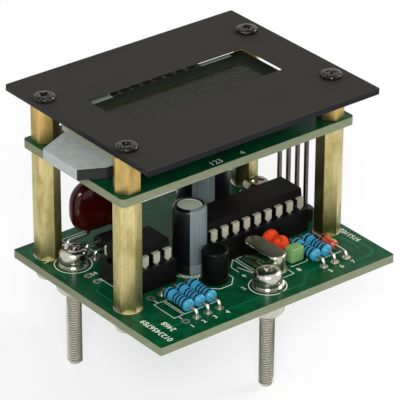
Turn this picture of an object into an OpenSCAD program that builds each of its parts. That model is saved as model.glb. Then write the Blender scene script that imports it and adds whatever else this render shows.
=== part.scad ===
// Component tester made of two circuit boards and a cover panel, stacked on brass
// hexagonal standoffs. Three long terminal screws reach down through the main board
// and carry the whole stack. All sizes are in millimetres, with +Z up.

/* [Main board] */
// Width of the main board, left to right
board_w = 53.8; // [53.4:0.2:70]
// Depth of the main board, front to back
board_d = 44.2; // [43.8:0.2:58]
// Thickness of both circuit boards
board_t = 1.6; // [1:0.1:2.4]
// Corner radius of the main board
board_r = 1.8; // [0.4:0.2:3]

/* [Display board and cover panel] */
// Margin of the display board outside the standoff axes
display_margin = 2.8; // [2.8:0.1:3.4]
// Margin of the cover panel in front of and behind the standoff axes
panel_margin = 9.3; // [6:0.1:12]
// Thickness of the clear cover panel with its black print
panel_t = 1.1; // [0.8:0.1:2]
// Width of the window left open in the black print
window_w = 35.4; // [30:0.1:36]
// Depth of the window left open in the black print
window_d = 11.35; // [9:0.05:12]

/* [Standoffs] */
// Size across the flats of the brass hexagon
standoff_af = 4.5; // [4:0.1:5]
// Length of the lower standoffs, between the two boards
lower_h = 22; // [18:0.5:30]
// Length of the upper standoffs, under the cover panel
upper_h = 7; // [6.8:0.1:10]
// Distance of the front standoffs from the front edge of the main board
standoff_front = 14.7; // [14.5:0.1:16]
// Outside diameter of the standoff screws
small_thread_d = 2.5; // [2:0.1:3]

/* [Terminal screws] */
// Outside diameter of the terminal screws
stud_d = 2.9; // [2.4:0.1:3]
// Length of the terminal screws under the head
stud_len = 22; // [16:1:30]
// Distance of the terminal screws from the board edges
stud_inset = 5.48; // [5.2:0.02:6]
// Distance of the side terminal screws from the front edge
stud_side_y = 33.17; // [33:0.01:34]

/* [Display] */
// Width of the display glass
glass_w = 41.7; // [40:0.1:42]
// Depth of the upper pane of the display glass
glass_d = 17.1; // [16:0.1:17.2]
// Thickness of each of the two panes
pane_t = 1.15; // [0.8:0.05:1.4]
// Thickness of the light box behind the glass
light_box_t = 2.1; // [1.4:0.1:2.4]
// Gap between the display glass and the cover panel
glass_gap = 0.6; // [0.6:0.1:0.8]

/* [Chips and sockets] */
// Pitch of the chip, header and display pins
pitch = 2.54; // [2.5:0.01:2.54]
// Pins on the controller chip
controller_pins = 18; // [14:2:18]
// Pins on the small chip
small_chip_pins = 8; // [4:2:8]
// Height of the chip sockets
socket_h = 4.6; // [4:0.1:5]
// Thickness of the chip bodies
chip_t = 3.2; // [2.6:0.1:3.6]

/* [Capacitors] */
// Diameter of the slim electrolytic capacitor
slim_cap_d = 6.3; // [5:0.1:6.3]
// Height of the slim electrolytic capacitor
slim_cap_h = 12.8; // [9:0.1:16]
// Diameter of the tall electrolytic capacitor
tall_cap_d = 10; // [8:0.1:10]
// Height of the tall electrolytic capacitor
tall_cap_h = 16; // [12:0.5:20]
// Width of the dipped film capacitor
film_w = 13; // [11:0.1:14]

/* [Hidden] */
$fn = 48;

// Standoffs, in board coordinates: x and y from the front left corner, z from the top face
standoff_left = 4;
standoff_right = board_w - 3.6;
standoff_back = board_d - 5.3;
STANDOFFS = [
    [standoff_left, standoff_front], [standoff_right, standoff_front],
    [standoff_right, standoff_back], [standoff_left, standoff_back]
];
LOWER_TURNS = [24, 30, 8, 25];
UPPER_TURNS = [0, 12, 40, 27];
small_r = small_thread_d / 2;
small_bore_r = small_r + 0.02;
small_hole_r = small_r + 0.1;

// Levels of the stack
display_z = lower_h;
display_top = display_z + board_t;
panel_z = display_top + upper_h;
panel_top = panel_z + panel_t;
print_t = 0.1;
glass_top = panel_z - glass_gap;
upper_pane_z = glass_top - pane_t;
lower_pane_z = upper_pane_z - pane_t;
light_box_z = lower_pane_z - light_box_t;

// Terminal screws with a flat and a spring washer at each side of the board
stud_r = stud_d / 2;
STUDS = [
    [stud_inset, stud_side_y], [board_w / 2 + 1.48, stud_inset],
    [board_w - stud_inset, stud_side_y]
];
flat_washer_r = 3;
flat_washer_t = 0.5;
spring_washer_t = 0.8;
nut_t = 2.4;
washers_t = flat_washer_t + spring_washer_t;
stud_tip_z = washers_t - stud_len;
core_r = stud_r - 0.2;

// Display, seen from above
centre_x = (standoff_left + standoff_right) / 2;
centre_y = (standoff_front + standoff_back) / 2;
window_x = centre_x + 0.15 - window_w / 2;
window_y = centre_y + 1.1 - window_d / 2;
glass_back = centre_y + 7.5;
glass_front = glass_back - glass_d;
lower_back = glass_back - 0.9;
glass_left = centre_x - 2.45 - glass_w / 2;
tongue_left = glass_left - 6.9;
display_pin_y = glass_back + 0.3;
display_pin_xs = [for (i = [0:7]) centre_x - 12.98 + i * pitch];
backlight_lead_ys = [centre_y - 5.8, centre_y - 0.72];

// Chips, in one row
chip_y = 21.5;
row_gap = 7.62;
controller_x = board_w - 7.7 - (controller_pins / 2 - 1) * pitch;
small_chip_x = 7.6;

// Parts on the main board
header_x = board_w - 4.1;
header_ys = [for (i = [0:3]) standoff_front + 5.75 + i * pitch];
SLIM_CAP = [21.35, 19.2];
TALL_CAP = [board_w - 19.6, 31.6];
slim_lead_gap = 2.5;
tall_lead_gap = 5;
CHOKE = [22.2, 12.9];
choke_lead_gap = 2;
film_y = board_d - 4.9;
film_x = 16;
film_t = 4.6;
film_z = 1.6;
film_h = 10.6;
film_pad_gap = 15;
film_lead_gap = 5.6;
CERAMICS = [[board_w - 17.3, 11.9], [board_w - 17.3, 14.75]];
ceramic_lead_gap = 2.54;
CRYSTAL = [board_w - 21.4, 11.2];
crystal_lead_gap = 4.88;
BOX_CAP = [board_w - 15.8, 9.6];
box_cap_lead_gap = 2;
axial_front = 4.6;
axial_span = 10.16;
RESISTOR_XS = [11.5, 14.05, 16.6, board_w - 13, board_w - 10.4];
resistor_r = 1.2;
glass_diode_x = board_w - 7.6;
glass_diode_r = 0.95;
RECTIFIER_YS = [32.4, 35.1];
rectifier_left = 9.8;
rectifier_r = 1.2;
lead_r = 0.3;
lead_end_z = -board_t - 1;

// Corners of the whole part, which set the origin at the middle of its base
part_left = tongue_left;
part_right = board_w;
part_back = standoff_back + panel_margin;
part_mid_x = (part_left + part_right) / 2;
part_mid_y = part_back / 2;

function chip_pin_xs(first, pins) = [for (i = [0:pins / 2 - 1]) first + i * pitch];

// Holes that component leads pass through, as [x, y, radius]
function pair(p, gap, r) = [[p[0] - gap / 2, p[1], r], [p[0] + gap / 2, p[1], r]];
contact_hole_r = 0.45;
lead_hole_r = 0.45;
LEAD_HOLES = concat(
    [for (x = chip_pin_xs(controller_x, controller_pins), s = [-1, 1])
        [x, chip_y + s * row_gap / 2, contact_hole_r]],
    [for (x = chip_pin_xs(small_chip_x, small_chip_pins), s = [-1, 1])
        [x, chip_y + s * row_gap / 2, contact_hole_r]],
    [for (y = header_ys) [header_x, y, 0.5]],
    pair(SLIM_CAP, slim_lead_gap, lead_hole_r),
    pair(TALL_CAP, tall_lead_gap, lead_hole_r),
    pair(CHOKE, choke_lead_gap, lead_hole_r),
    pair([film_x, film_y], film_pad_gap, lead_hole_r),
    [for (p = CERAMICS) each pair(p, ceramic_lead_gap, lead_hole_r)],
    [for (s = [-1, 1]) [CRYSTAL[0], CRYSTAL[1] + s * crystal_lead_gap / 2, lead_hole_r]],
    pair(BOX_CAP, box_cap_lead_gap, lead_hole_r),
    [for (x = concat(RESISTOR_XS, [glass_diode_x]), y = [axial_front, axial_front + axial_span])
        [x, y, lead_hole_r]],
    [for (y = RECTIFIER_YS, x = [rectifier_left, rectifier_left + axial_span])
        [x, y, lead_hole_r]]
);
DISPLAY_HOLES = concat(
    [for (x = display_pin_xs) [x, display_pin_y, lead_hole_r]],
    [for (y = header_ys) [header_x, y, 0.5]],
    [for (y = backlight_lead_ys) [glass_left + 0.6, y, lead_hole_r]]
);

// ---------------------------------------------------------------- helpers

module on_frame() {
    translate([-part_mid_x, -part_mid_y, -stud_tip_z]) children();
}

module at_standoffs() {
    for (p = STANDOFFS) translate([p[0], p[1], 0]) children();
}

module at_studs() {
    for (p = STUDS) translate([p[0], p[1], 0]) children();
}

// Flat plate with rounded corners, its lower left corner at the origin
module plate(size, r, t) {
    linear_extrude(t) {
        translate([r, 0]) square([size[0] - 2 * r, size[1]]);
        translate([0, r]) square([size[0], size[1] - 2 * r]);
        for (x = [r, size[0] - r], y = [r, size[1] - r])
            translate([x, y]) circle(r);
    }
}

module holes(list, z, t) {
    for (h = list) translate([h[0], h[1], z - 1]) cylinder(r = h[2], h = t + 2, $fn = 24);
}

// Hexagonal bar with both ends turned to a chamfer
module hex_bar(af, h, chamfer) {
    corner_r = af / 2 / cos(30);
    intersection() {
        cylinder(r = corner_r, h = h, $fn = 6);
        rotate_extrude() polygon([
            [0, 0], [corner_r - chamfer, 0], [corner_r, chamfer * 0.6],
            [corner_r, h - chamfer * 0.6], [corner_r - chamfer, h], [0, h]
        ]);
    }
}

module ring(r_out, r_in, t) {
    difference() {
        cylinder(r = r_out, h = t);
        translate([0, 0, -1]) cylinder(r = r_in, h = t + 2);
    }
}

// Spring washer: a ring with one slanting cut
module split_ring(r_out, r_in, t) {
    difference() {
        ring(r_out, r_in, t);
        translate([0, 0, t / 2]) rotate([0, 0, 35]) translate([(r_in + r_out) / 2, 0, 0])
            rotate([35, 0, 0]) cube([r_out, 0.35, 4 * t], center = true);
    }
}

// Pan head screw with a crossed recess, the underside of its head at z = 0
module pan_screw(head_r, head_h, shank_r, shank_len, recess_r) {
    edge = head_h * 0.42;
    tip = shank_r * 0.25;
    difference() {
        rotate_extrude() polygon(concat(
            [[0, -shank_len], [shank_r - tip, -shank_len], [shank_r, tip - shank_len],
                [shank_r, 0], [head_r, 0], [head_r, edge]],
            [for (a = [15:15:75]) [
                head_r - (head_h - edge) * 0.9 * (1 - cos(a)) - head_r * 0.35 * sin(a) * a / 90,
                edge + (head_h - edge) * sin(a)]],
            [[0, head_h]]
        ));
        for (a = [0, 90]) rotate([0, 0, a + 20]) translate([0, 0, head_h])
            cube([recess_r * 2, recess_r * 0.42, head_h * 1.1], center = true);
        translate([0, 0, head_h * 0.45]) cylinder(r1 = 0.2, r2 = recess_r * 0.6, h = head_h);
    }
}

// Round lead that runs along X from the origin, turns down through a bend and ends at z = drop
module bent_lead(run, drop, bend = 0.8) {
    rotate([0, 90, 0]) cylinder(r = lead_r, h = run - bend, $fn = 24);
    translate([run - bend, 0, -bend]) rotate([90, 0, 0])
        rotate_extrude(angle = 90, $fn = 32) translate([bend, 0]) circle(lead_r, $fn = 24);
    translate([run, 0, drop]) cylinder(r = lead_r, h = -drop - bend, $fn = 24);
}

// Both leads of an axial part with its middle at the origin
module axial_leads(body_len, span, axis_z) {
    for (s = [0, 180]) rotate([0, 0, s]) translate([body_len / 2, 0, 0])
        bent_lead(span / 2 - body_len / 2, lead_end_z - axis_z);
}

module straight_lead(top_z, r = lead_r) {
    translate([0, 0, lead_end_z]) cylinder(r = r, h = top_z - lead_end_z, $fn = 24);
}

// ---------------------------------------------------------------- boards and panel

module main_board() {
    color("seagreen") on_frame() difference() {
        translate([0, 0, -board_t]) plate([board_w, board_d], board_r, board_t);
        holes(LEAD_HOLES, -board_t, board_t);
        translate([0, 0, -board_t - 1]) {
            at_standoffs() cylinder(r = small_hole_r, h = board_t + 2);
            at_studs() cylinder(r = stud_r + 0.15, h = board_t + 2);
        }
    }
}

module display_board() {
    size = [
        standoff_right - standoff_left + 2 * display_margin,
        standoff_back - standoff_front + 2 * display_margin
    ];
    color("seagreen") on_frame() difference() {
        translate([standoff_left - display_margin, standoff_front - display_margin, display_z])
            plate(size, display_margin, board_t);
        holes(DISPLAY_HOLES, display_z, board_t);
        translate([0, 0, display_z - 1]) at_standoffs()
            cylinder(r = small_hole_r, h = board_t + 2);
    }
}

// Clear panel: the black print on its top face stands proud all round the open window
module cover_panel() {
    size = [
        standoff_right - standoff_left + 2 * display_margin,
        standoff_back - standoff_front + 2 * panel_margin
    ];
    color("dimgray") on_frame() difference() {
        translate([standoff_left - display_margin, standoff_front - panel_margin, panel_z])
            plate(size, 0.8, panel_t);
        translate([window_x, window_y, panel_top - print_t])
            cube([window_w, window_d, 1]);
        translate([0, 0, panel_z - 1]) at_standoffs()
            cylinder(r = small_hole_r, h = panel_t + 2);
    }
}

// ---------------------------------------------------------------- standoffs and screws

base_screw_len = 8;
cover_screw_len = 5;
upper_stud_len = 5;

// Lower standoff: tapped from both ends
module lower_standoff(i) {
    color("goldenrod") on_frame() translate([STANDOFFS[i][0], STANDOFFS[i][1], 0])
        difference() {
            rotate([0, 0, LOWER_TURNS[i]]) hex_bar(standoff_af, lower_h, 0.35);
            translate([0, 0, -1]) cylinder(r = small_bore_r, h = base_screw_len + 1);
            translate([0, 0, lower_h - upper_stud_len - 1.2])
                cylinder(r = small_bore_r, h = upper_stud_len + 2.2);
        }
}

// Upper standoff: a threaded stud goes down through the display board
module upper_standoff(i) {
    tip = small_r * 0.25;
    color("goldenrod") on_frame() translate([STANDOFFS[i][0], STANDOFFS[i][1], display_top])
        difference() {
            union() {
                rotate([0, 0, UPPER_TURNS[i]]) hex_bar(standoff_af, upper_h, 0.35);
                rotate_extrude() polygon([
                    [0, -upper_stud_len], [small_r - tip, -upper_stud_len],
                    [small_r, tip - upper_stud_len], [small_r, 1], [0, 1]
                ]);
            }
            translate([0, 0, upper_h - cover_screw_len])
                cylinder(r = small_bore_r, h = cover_screw_len + 1);
        }
}

module cover_screws() {
    color("dimgray") on_frame() translate([0, 0, panel_top]) at_standoffs()
        pan_screw(2.2, 1.7, small_r, cover_screw_len - 0.2, 1.25);
}

module base_screws() {
    color("silver") on_frame() translate([0, 0, -board_t - flat_washer_t - 0.6]) at_standoffs()
        mirror([0, 0, 1]) pan_screw(2.35, 1.9, small_r, base_screw_len, 1.3);
}

module base_spring_washers() {
    color("silver") on_frame() translate([0, 0, -board_t - flat_washer_t - 0.6]) at_standoffs()
        split_ring(2.2, small_r + 0.1, 0.6);
}

module base_flat_washers() {
    color("silver") on_frame() translate([0, 0, -board_t - flat_washer_t]) at_standoffs()
        ring(2.75, small_r + 0.1, flat_washer_t);
}

// Terminal screw: its shank is at the thread's core where washers, board and nut hold it
module terminal_screw(i) {
    held = 2 * washers_t + board_t + nut_t;
    color("silver") on_frame() translate([STUDS[i][0], STUDS[i][1], washers_t]) difference() {
        rotate([0, 0, 25 * i]) pan_screw(2.8, 2.1, stud_r, stud_len, 1.6);
        translate([0, 0, -held]) ring(2 * stud_r, core_r, held);
    }
}

module terminal_flat_washers() {
    color("silver") on_frame() {
        at_studs() ring(flat_washer_r, stud_r + 0.12, flat_washer_t);
        translate([0, 0, -board_t - flat_washer_t]) at_studs()
            ring(flat_washer_r, stud_r + 0.12, flat_washer_t);
    }
}

module terminal_spring_washers() {
    color("silver") on_frame() {
        translate([0, 0, flat_washer_t]) at_studs()
            split_ring(2.65, stud_r + 0.1, spring_washer_t);
        translate([0, 0, -board_t - washers_t]) at_studs()
            split_ring(2.65, stud_r + 0.1, spring_washer_t);
    }
}

module terminal_nuts() {
    color("silver") on_frame() translate([0, 0, -board_t - washers_t - nut_t]) at_studs()
        difference() {
            rotate([0, 0, -38]) hex_bar(5.5, nut_t, 0.4);
            translate([0, 0, -1]) cylinder(r = core_r + 0.03, h = nut_t + 2);
        }
}

// ---------------------------------------------------------------- display

// Light box: a flat pane with a tongue at its left end that holds the lamps
module light_box() {
    outline = [
        [glass_left + glass_w, glass_front], [glass_left + glass_w, lower_back],
        [glass_left + 1.8, lower_back], [tongue_left, lower_back - 3.8],
        [tongue_left, glass_front + 2.4], [glass_left - 2.3, glass_front]
    ];
    color("lightgray") on_frame() translate([0, 0, light_box_z]) difference() {
        linear_extrude(light_box_t) polygon(outline);
        for (y = backlight_lead_ys) translate([glass_left + 0.6, y, -1])
            cylinder(r = lead_r + 0.02, h = light_box_t, $fn = 24);
    }
}

module display_lower_pane() {
    color("tan") on_frame() translate([glass_left, glass_front, lower_pane_z])
        cube([glass_w, lower_back - glass_front, pane_t]);
}

module display_upper_pane() {
    color("darkslategray") on_frame() translate([glass_left, glass_front, upper_pane_z])
        cube([glass_w, glass_d, pane_t]);
}

// Clip pins: each goes up past the edge of the upper pane and arches over it
module display_pins() {
    pin_w = 0.6;
    pin_t = 0.26;
    arch_z = glass_top + 0.5;
    reach = 1;
    foot_z = display_z - 1;
    low = display_pin_y - pin_t / 2;
    high = display_pin_y + pin_t / 2;
    color("silver") on_frame() for (x = display_pin_xs) translate([x + pin_w / 2, 0, 0])
        rotate([0, -90, 0]) linear_extrude(pin_w) polygon([
            [foot_z, low], [arch_z - pin_t - 0.1, low], [arch_z - pin_t, low - 0.1],
            [glass_top + 0.02, low - reach * 0.55], [glass_top + 0.02, low - reach],
            [glass_top + 0.02 + pin_t, low - reach], [glass_top + 0.1 + pin_t, low - reach * 0.6],
            [arch_z, low - 0.2], [arch_z - 0.15, high], [foot_z, high]
        ]);
}

module light_box_leads() {
    color("silver") on_frame() for (y = backlight_lead_ys)
        translate([glass_left + 0.6, y, display_z - 1])
            cylinder(r = lead_r, h = light_box_z - display_z + 1.7, $fn = 24);
}

// ---------------------------------------------------------------- chips and sockets

body_lift = 0.4;
leg_w = 0.46;
leg_t = 0.25;
shoulder_w = 1.35;
leg_len = 3.3;
leg_gap = 0.03;
chip_half_w = 3.2;
socket_half_w = 4.8;
rail_w = 2.2;
slot_x = 1;
slot_y = 0.8;

// Moulded body with slanting sides, a notch at the left end and a dimple beside it
module chip_body(first_x, pins) {
    end = 0.85;
    len = (pins / 2 - 1) * pitch + 2 * end;
    half_t = chip_t / 2;
    z = socket_h + body_lift;
    color("dimgray") on_frame() difference() {
        translate([first_x - end, chip_y, z + half_t]) rotate([90, 0, 90])
            linear_extrude(len) polygon([
                [-chip_half_w + 0.28, -half_t], [chip_half_w - 0.28, -half_t],
                [chip_half_w, -0.12], [chip_half_w, 0.12],
                [chip_half_w - 0.28, half_t], [-chip_half_w + 0.28, half_t],
                [-chip_half_w, 0.12], [-chip_half_w, -0.12]
            ]);
        translate([first_x - end, chip_y, z + chip_t - 0.9]) cylinder(r = 0.8, h = 2);
        translate([first_x + 0.5, chip_y - 1.9, z + chip_t - 0.15]) cylinder(r = 0.5, h = 1);
    }
}

// Legs: out of the body's side, down in a wide shoulder, then narrow into the socket
module chip_legs(first_x, pins) {
    top = socket_h + body_lift + chip_t / 2;
    side_y = row_gap / 2;
    color("gainsboro") on_frame() for (x = chip_pin_xs(first_x, pins), s = [0, 1])
        translate([x, chip_y, 0]) mirror([0, s, 0]) {
            translate([-shoulder_w / 2, chip_half_w, top - leg_t / 2])
                cube([shoulder_w, side_y - chip_half_w + leg_t / 2, leg_t]);
            translate([0, side_y + leg_t / 2, 0]) rotate([90, 0, 0]) linear_extrude(leg_t)
                polygon([
                    [-shoulder_w / 2, top + leg_t / 2], [-shoulder_w / 2, socket_h + 0.35],
                    [-leg_w / 2, socket_h + leg_gap], [-leg_w / 2, socket_h - leg_len + 0.4],
                    [-leg_w / 4, socket_h - leg_len], [leg_w / 4, socket_h - leg_len],
                    [leg_w / 2, socket_h - leg_len + 0.4], [leg_w / 2, socket_h + leg_gap],
                    [shoulder_w / 2, socket_h + 0.35], [shoulder_w / 2, top + leg_t / 2]
                ]);
        }
}

// Socket: two slotted rails joined by three bars
module socket(first_x, pins) {
    end = 1.25;
    len = (pins / 2 - 1) * pitch + 2 * end;
    bar_w = 1.6;
    color("dimgray") on_frame() translate([first_x - end, chip_y, 0]) difference() {
        union() {
            for (s = [0, 1]) mirror([0, s, 0])
                translate([0, socket_half_w - rail_w, 0]) cube([len, rail_w, socket_h]);
            for (x = [0, (len - bar_w) / 2, len - bar_w])
                translate([x, -socket_half_w, 0.6])
                    cube([bar_w, 2 * socket_half_w, socket_h - 1]);
        }
        translate([0, 0, socket_h]) rotate([0, 0, -90]) cylinder(r = 0.9, h = 1);
        for (i = [0:pins / 2 - 1], s = [-1, 1])
            translate([end + i * pitch - slot_x / 2, s * row_gap / 2 - slot_y / 2, 0.8])
                cube([slot_x, slot_y, socket_h]);
        for (i = [0:pins / 2 - 1], s = [-1, 1])
            translate([end + i * pitch, s * row_gap / 2, -1])
                cylinder(r = 0.3, h = 2, $fn = 24);
    }
}

// Contacts: a base cup inside each slot and a tail that goes through the board
module socket_contacts(first_x, pins) {
    color("gainsboro") on_frame() for (x = chip_pin_xs(first_x, pins), s = [-1, 1])
        translate([x, chip_y + s * row_gap / 2, 0]) {
            translate([0, 0, lead_end_z]) cylinder(r = 0.26, h = 0.85 - lead_end_z, $fn = 24);
            translate([-0.4, -0.3, 0.82]) cube([0.8, 0.6, 0.2]);
        }
}

module controller_chip_body() { chip_body(controller_x, controller_pins); }
module controller_chip_legs() { chip_legs(controller_x, controller_pins); }
module controller_socket() { socket(controller_x, controller_pins); }
module controller_socket_contacts() { socket_contacts(controller_x, controller_pins); }
module small_chip_body() { chip_body(small_chip_x, small_chip_pins); }
module small_chip_legs() { chip_legs(small_chip_x, small_chip_pins); }
module small_chip_socket() { socket(small_chip_x, small_chip_pins); }
module small_chip_socket_contacts() { socket_contacts(small_chip_x, small_chip_pins); }

// ---------------------------------------------------------------- link header

header_pin_w = 0.64;
header_body_h = 2.5;

// Insulator: one chamfered block per pin, joined in a strip
module link_header_body() {
    half = pitch / 2;
    cut = 0.45;
    color("dimgray") on_frame() difference() {
        for (y = header_ys) translate([header_x, y, 0]) linear_extrude(header_body_h)
            polygon([
                [-half, -half + cut], [-half + cut, -half - 0.01], [half - cut, -half - 0.01],
                [half, -half + cut], [half, half - cut], [half - cut, half + 0.01],
                [-half + cut, half + 0.01], [-half, half - cut]
            ]);
        for (y = header_ys) translate([header_x, y, header_body_h / 2])
            cube([header_pin_w + 0.02, header_pin_w + 0.02, 2 * header_body_h], center = true);
    }
}

// Square pins that pass through the strip, with pointed ends in both boards
module link_header_pins() {
    z0 = lead_end_z;
    h = display_top + 0.9 - z0;
    w = header_pin_w;
    color("silver") on_frame() for (y = header_ys) translate([header_x, y, z0])
        intersection() {
            translate([-w / 2, -w / 2, 0]) cube([w, w, h]);
            rotate_extrude($fn = 24) polygon([
                [0, 0], [w * 0.3, 0], [w * 0.75, w * 0.6], [w * 0.75, h - w * 0.6],
                [w * 0.3, h], [0, h]
            ]);
        }
}

// ---------------------------------------------------------------- electrolytic capacitors

sleeve_t = 0.12;
bung_h = 1.4;
sleeve_gap = 0.01;
board_gap = 0.15;
can_round = 0.6;

// Aluminium can: rolled groove above the open end, rounded shoulder, scored vent on top
module electrolytic_can(d, h) {
    r = d / 2 - sleeve_t - sleeve_gap;
    groove = 0.3;
    difference() {
        rotate_extrude() polygon(concat(
            [[0, bung_h], [r - 0.4, bung_h], [r - 0.4, 0.25], [r - 0.15, 0], [r, 0.15],
                [r, 1.3], [r - groove, 1.7], [r - groove, 1.9], [r, 2.3],
                [r, h - can_round]],
            [for (a = [22.5:22.5:90]) [r - can_round + can_round * cos(a),
                h - can_round + can_round * sin(a)]],
            [[0, h]]
        ));
        for (a = [20, 110]) rotate([0, 0, a]) translate([0, 0, h])
            cube([r * 1.25, 0.22, 0.24], center = true);
    }
}

// Shrunk sleeve, turned in over the shoulder of the can
module electrolytic_sleeve(d, h) {
    inner = d / 2 - sleeve_t;
    inner_round = can_round + 2 * sleeve_gap;
    outer_round = inner_round + sleeve_t;
    centre = inner - inner_round;
    lip_r = centre - 0.15;
    steps = [0:18:90];
    rotate_extrude() polygon(concat(
        [[inner, 0.05], [inner + sleeve_t, 0.05]],
        [for (a = steps) [centre + outer_round * cos(a), h - can_round + outer_round * sin(a)]],
        [[lip_r, h - can_round + outer_round], [lip_r, h - can_round + inner_round]],
        [for (a = steps) [centre + inner_round * sin(a), h - can_round + inner_round * cos(a)]]
    ));
}

module electrolytic_bung(d, lead_gap) {
    r = d / 2 - sleeve_t - 0.43;
    difference() {
        translate([0, 0, -board_gap]) cylinder(r = r, h = bung_h + board_gap - 0.01);
        for (s = [-1, 1]) translate([s * lead_gap / 2, 0, -1])
            cylinder(r = lead_r + 0.01, h = bung_h + 2, $fn = 24);
    }
}

module tall_capacitor_can() {
    color("silver") on_frame() translate([TALL_CAP[0], TALL_CAP[1], board_gap])
        rotate([0, 0, 30]) electrolytic_can(tall_cap_d, tall_cap_h);
}

module tall_capacitor_sleeve() {
    color("black") on_frame() translate([TALL_CAP[0], TALL_CAP[1], board_gap])
        electrolytic_sleeve(tall_cap_d, tall_cap_h);
}

module slim_capacitor_can() {
    color("silver") on_frame() translate([SLIM_CAP[0], SLIM_CAP[1], board_gap])
        rotate([0, 0, 10]) electrolytic_can(slim_cap_d, slim_cap_h);
}

module slim_capacitor_sleeve() {
    color("black") on_frame() translate([SLIM_CAP[0], SLIM_CAP[1], board_gap])
        electrolytic_sleeve(slim_cap_d, slim_cap_h);
}

module electrolytic_bungs() {
    color("black") on_frame() {
        translate([TALL_CAP[0], TALL_CAP[1], board_gap])
            electrolytic_bung(tall_cap_d, tall_lead_gap);
        translate([SLIM_CAP[0], SLIM_CAP[1], board_gap])
            electrolytic_bung(slim_cap_d, slim_lead_gap);
    }
}

module electrolytic_leads() {
    color("silver") on_frame() {
        for (p = pair(TALL_CAP, tall_lead_gap, 0)) translate([p[0], p[1], 0])
            straight_lead(board_gap + bung_h - 0.1);
        for (p = pair(SLIM_CAP, slim_lead_gap, 0)) translate([p[0], p[1], 0])
            straight_lead(board_gap + bung_h - 0.1);
    }
}

// ---------------------------------------------------------------- choke

choke_r = 2.5;
choke_h = 6.4;

// Round wound choke in a shrunk sleeve, open at the top over its ferrite core
module choke_body() {
    color("black") on_frame() translate([CHOKE[0], CHOKE[1], 0]) difference() {
        rotate_extrude() polygon([
            [0, 0], [choke_r - 0.2, 0], [choke_r, 0.25], [choke_r, choke_h - 0.35],
            [choke_r - 0.35, choke_h], [choke_r - 0.9, choke_h], [choke_r - 1, choke_h - 0.3],
            [0, choke_h - 0.3]
        ]);
        for (s = [-1, 1]) translate([s * choke_lead_gap / 2, 0, -1])
            cylinder(r = lead_r + 0.01, h = 2.2, $fn = 24);
    }
}

module choke_leads() {
    color("silver") on_frame() for (p = pair(CHOKE, choke_lead_gap, 0))
        translate([p[0], p[1], 0]) straight_lead(1.2);
}

// ---------------------------------------------------------------- film capacitor

// Dipped body: a flat pillow, from three upright plates that get thicker and smaller
module film_capacitor_body() {
    corner_r = 2.6;
    color("maroon") on_frame() difference() {
        translate([film_x, film_y, film_z]) hull()
            for (step = [[0, 0.3], [0.5, 0.7], [1.6, 1]])
                translate([-film_w / 2 + step[0], film_t * step[1] / 2, step[0]])
                    rotate([90, 0, 0]) plate(
                        [film_w - 2 * step[0], film_h - 2 * step[0]], corner_r - step[0],
                        film_t * step[1], $fn = 32);
        for (s = [-1, 1]) translate([film_x + s * film_lead_gap / 2, film_y, 0])
            cylinder(r = lead_r + 0.01, h = film_z + 1.6, $fn = 24);
    }
}

// Leads: down from the body, then outwards to holes that are further apart
module film_capacitor_leads() {
    bend_r = 0.6;
    run_z = 0.9;
    bend_z = run_z + bend_r;
    start_x = film_lead_gap / 2;
    color("silver") on_frame() for (s = [0, 1])
        translate([film_x, film_y, 0]) mirror([s, 0, 0]) {
            translate([start_x, 0, bend_z])
                cylinder(r = lead_r, h = film_z + 1.5 - bend_z, $fn = 24);
            translate([start_x + bend_r, 0, bend_z]) rotate([90, 0, 0]) rotate([0, 0, 180])
                rotate_extrude(angle = 90, $fn = 32) translate([bend_r, 0])
                    circle(lead_r, $fn = 24);
            translate([start_x + bend_r, 0, run_z])
                bent_lead(film_pad_gap / 2 - start_x - bend_r, lead_end_z - run_z);
        }
}

// ---------------------------------------------------------------- small capacitors

ceramic_r = 1.9;
ceramic_t = 2;
ceramic_z = 0.7;

// Dipped bead: a flattened disc that draws down over its two leads
module ceramic_capacitor_bodies() {
    color("chocolate") on_frame() for (p = CERAMICS) translate([p[0], p[1], ceramic_z])
        difference() {
            hull() {
                translate([0, ceramic_t / 2, ceramic_r]) rotate([90, 0, 0])
                    cylinder(r = ceramic_r - 0.5, h = ceramic_t, $fn = 24);
                translate([0, ceramic_t / 4, ceramic_r]) rotate([90, 0, 0])
                    cylinder(r = ceramic_r, h = ceramic_t / 2, $fn = 24);
            }
            for (s = [-1, 1]) translate([s * ceramic_lead_gap / 2, 0, -1])
                cylinder(r = lead_r + 0.01, h = 2.8, $fn = 24);
        }
}

module ceramic_capacitor_leads() {
    color("silver") on_frame() for (c = CERAMICS, p = pair(c, ceramic_lead_gap, 0))
        translate([p[0], p[1], 0]) straight_lead(ceramic_z + 1.7);
}

box_cap_w = 3;
box_cap_d = 2.2;
box_cap_h = 2.9;

// Small moulded capacitor with bevelled upper edges
module box_capacitor_body() {
    color("lightgreen") on_frame() translate([BOX_CAP[0], BOX_CAP[1], 0.1]) difference() {
        hull() {
            translate([-box_cap_w / 2, -box_cap_d / 2, 0])
                cube([box_cap_w, box_cap_d, box_cap_h - 0.4]);
            translate([-box_cap_w / 2 + 0.3, -box_cap_d / 2 + 0.3, 0])
                cube([box_cap_w - 0.6, box_cap_d - 0.6, box_cap_h]);
        }
        for (s = [-1, 1]) translate([s * box_cap_lead_gap / 2, 0, -1])
            cylinder(r = lead_r + 0.01, h = 2, $fn = 24);
    }
}

module box_capacitor_leads() {
    color("silver") on_frame() for (p = pair(BOX_CAP, box_cap_lead_gap, 0))
        translate([p[0], p[1], 0]) straight_lead(1);
}

// ---------------------------------------------------------------- crystal

crystal_len = 9.8;
crystal_w = 3.8;
crystal_h = 3.2;
crystal_flange = 0.4;
crystal_rim = 0.35;
crystal_z = 0.6;

// Outline with round ends, along Y
module stadium(len, w) {
    square([w, len - w], center = true);
    for (s = [-1, 1]) translate([0, s * (len - w) / 2]) circle(w / 2);
}

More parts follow.
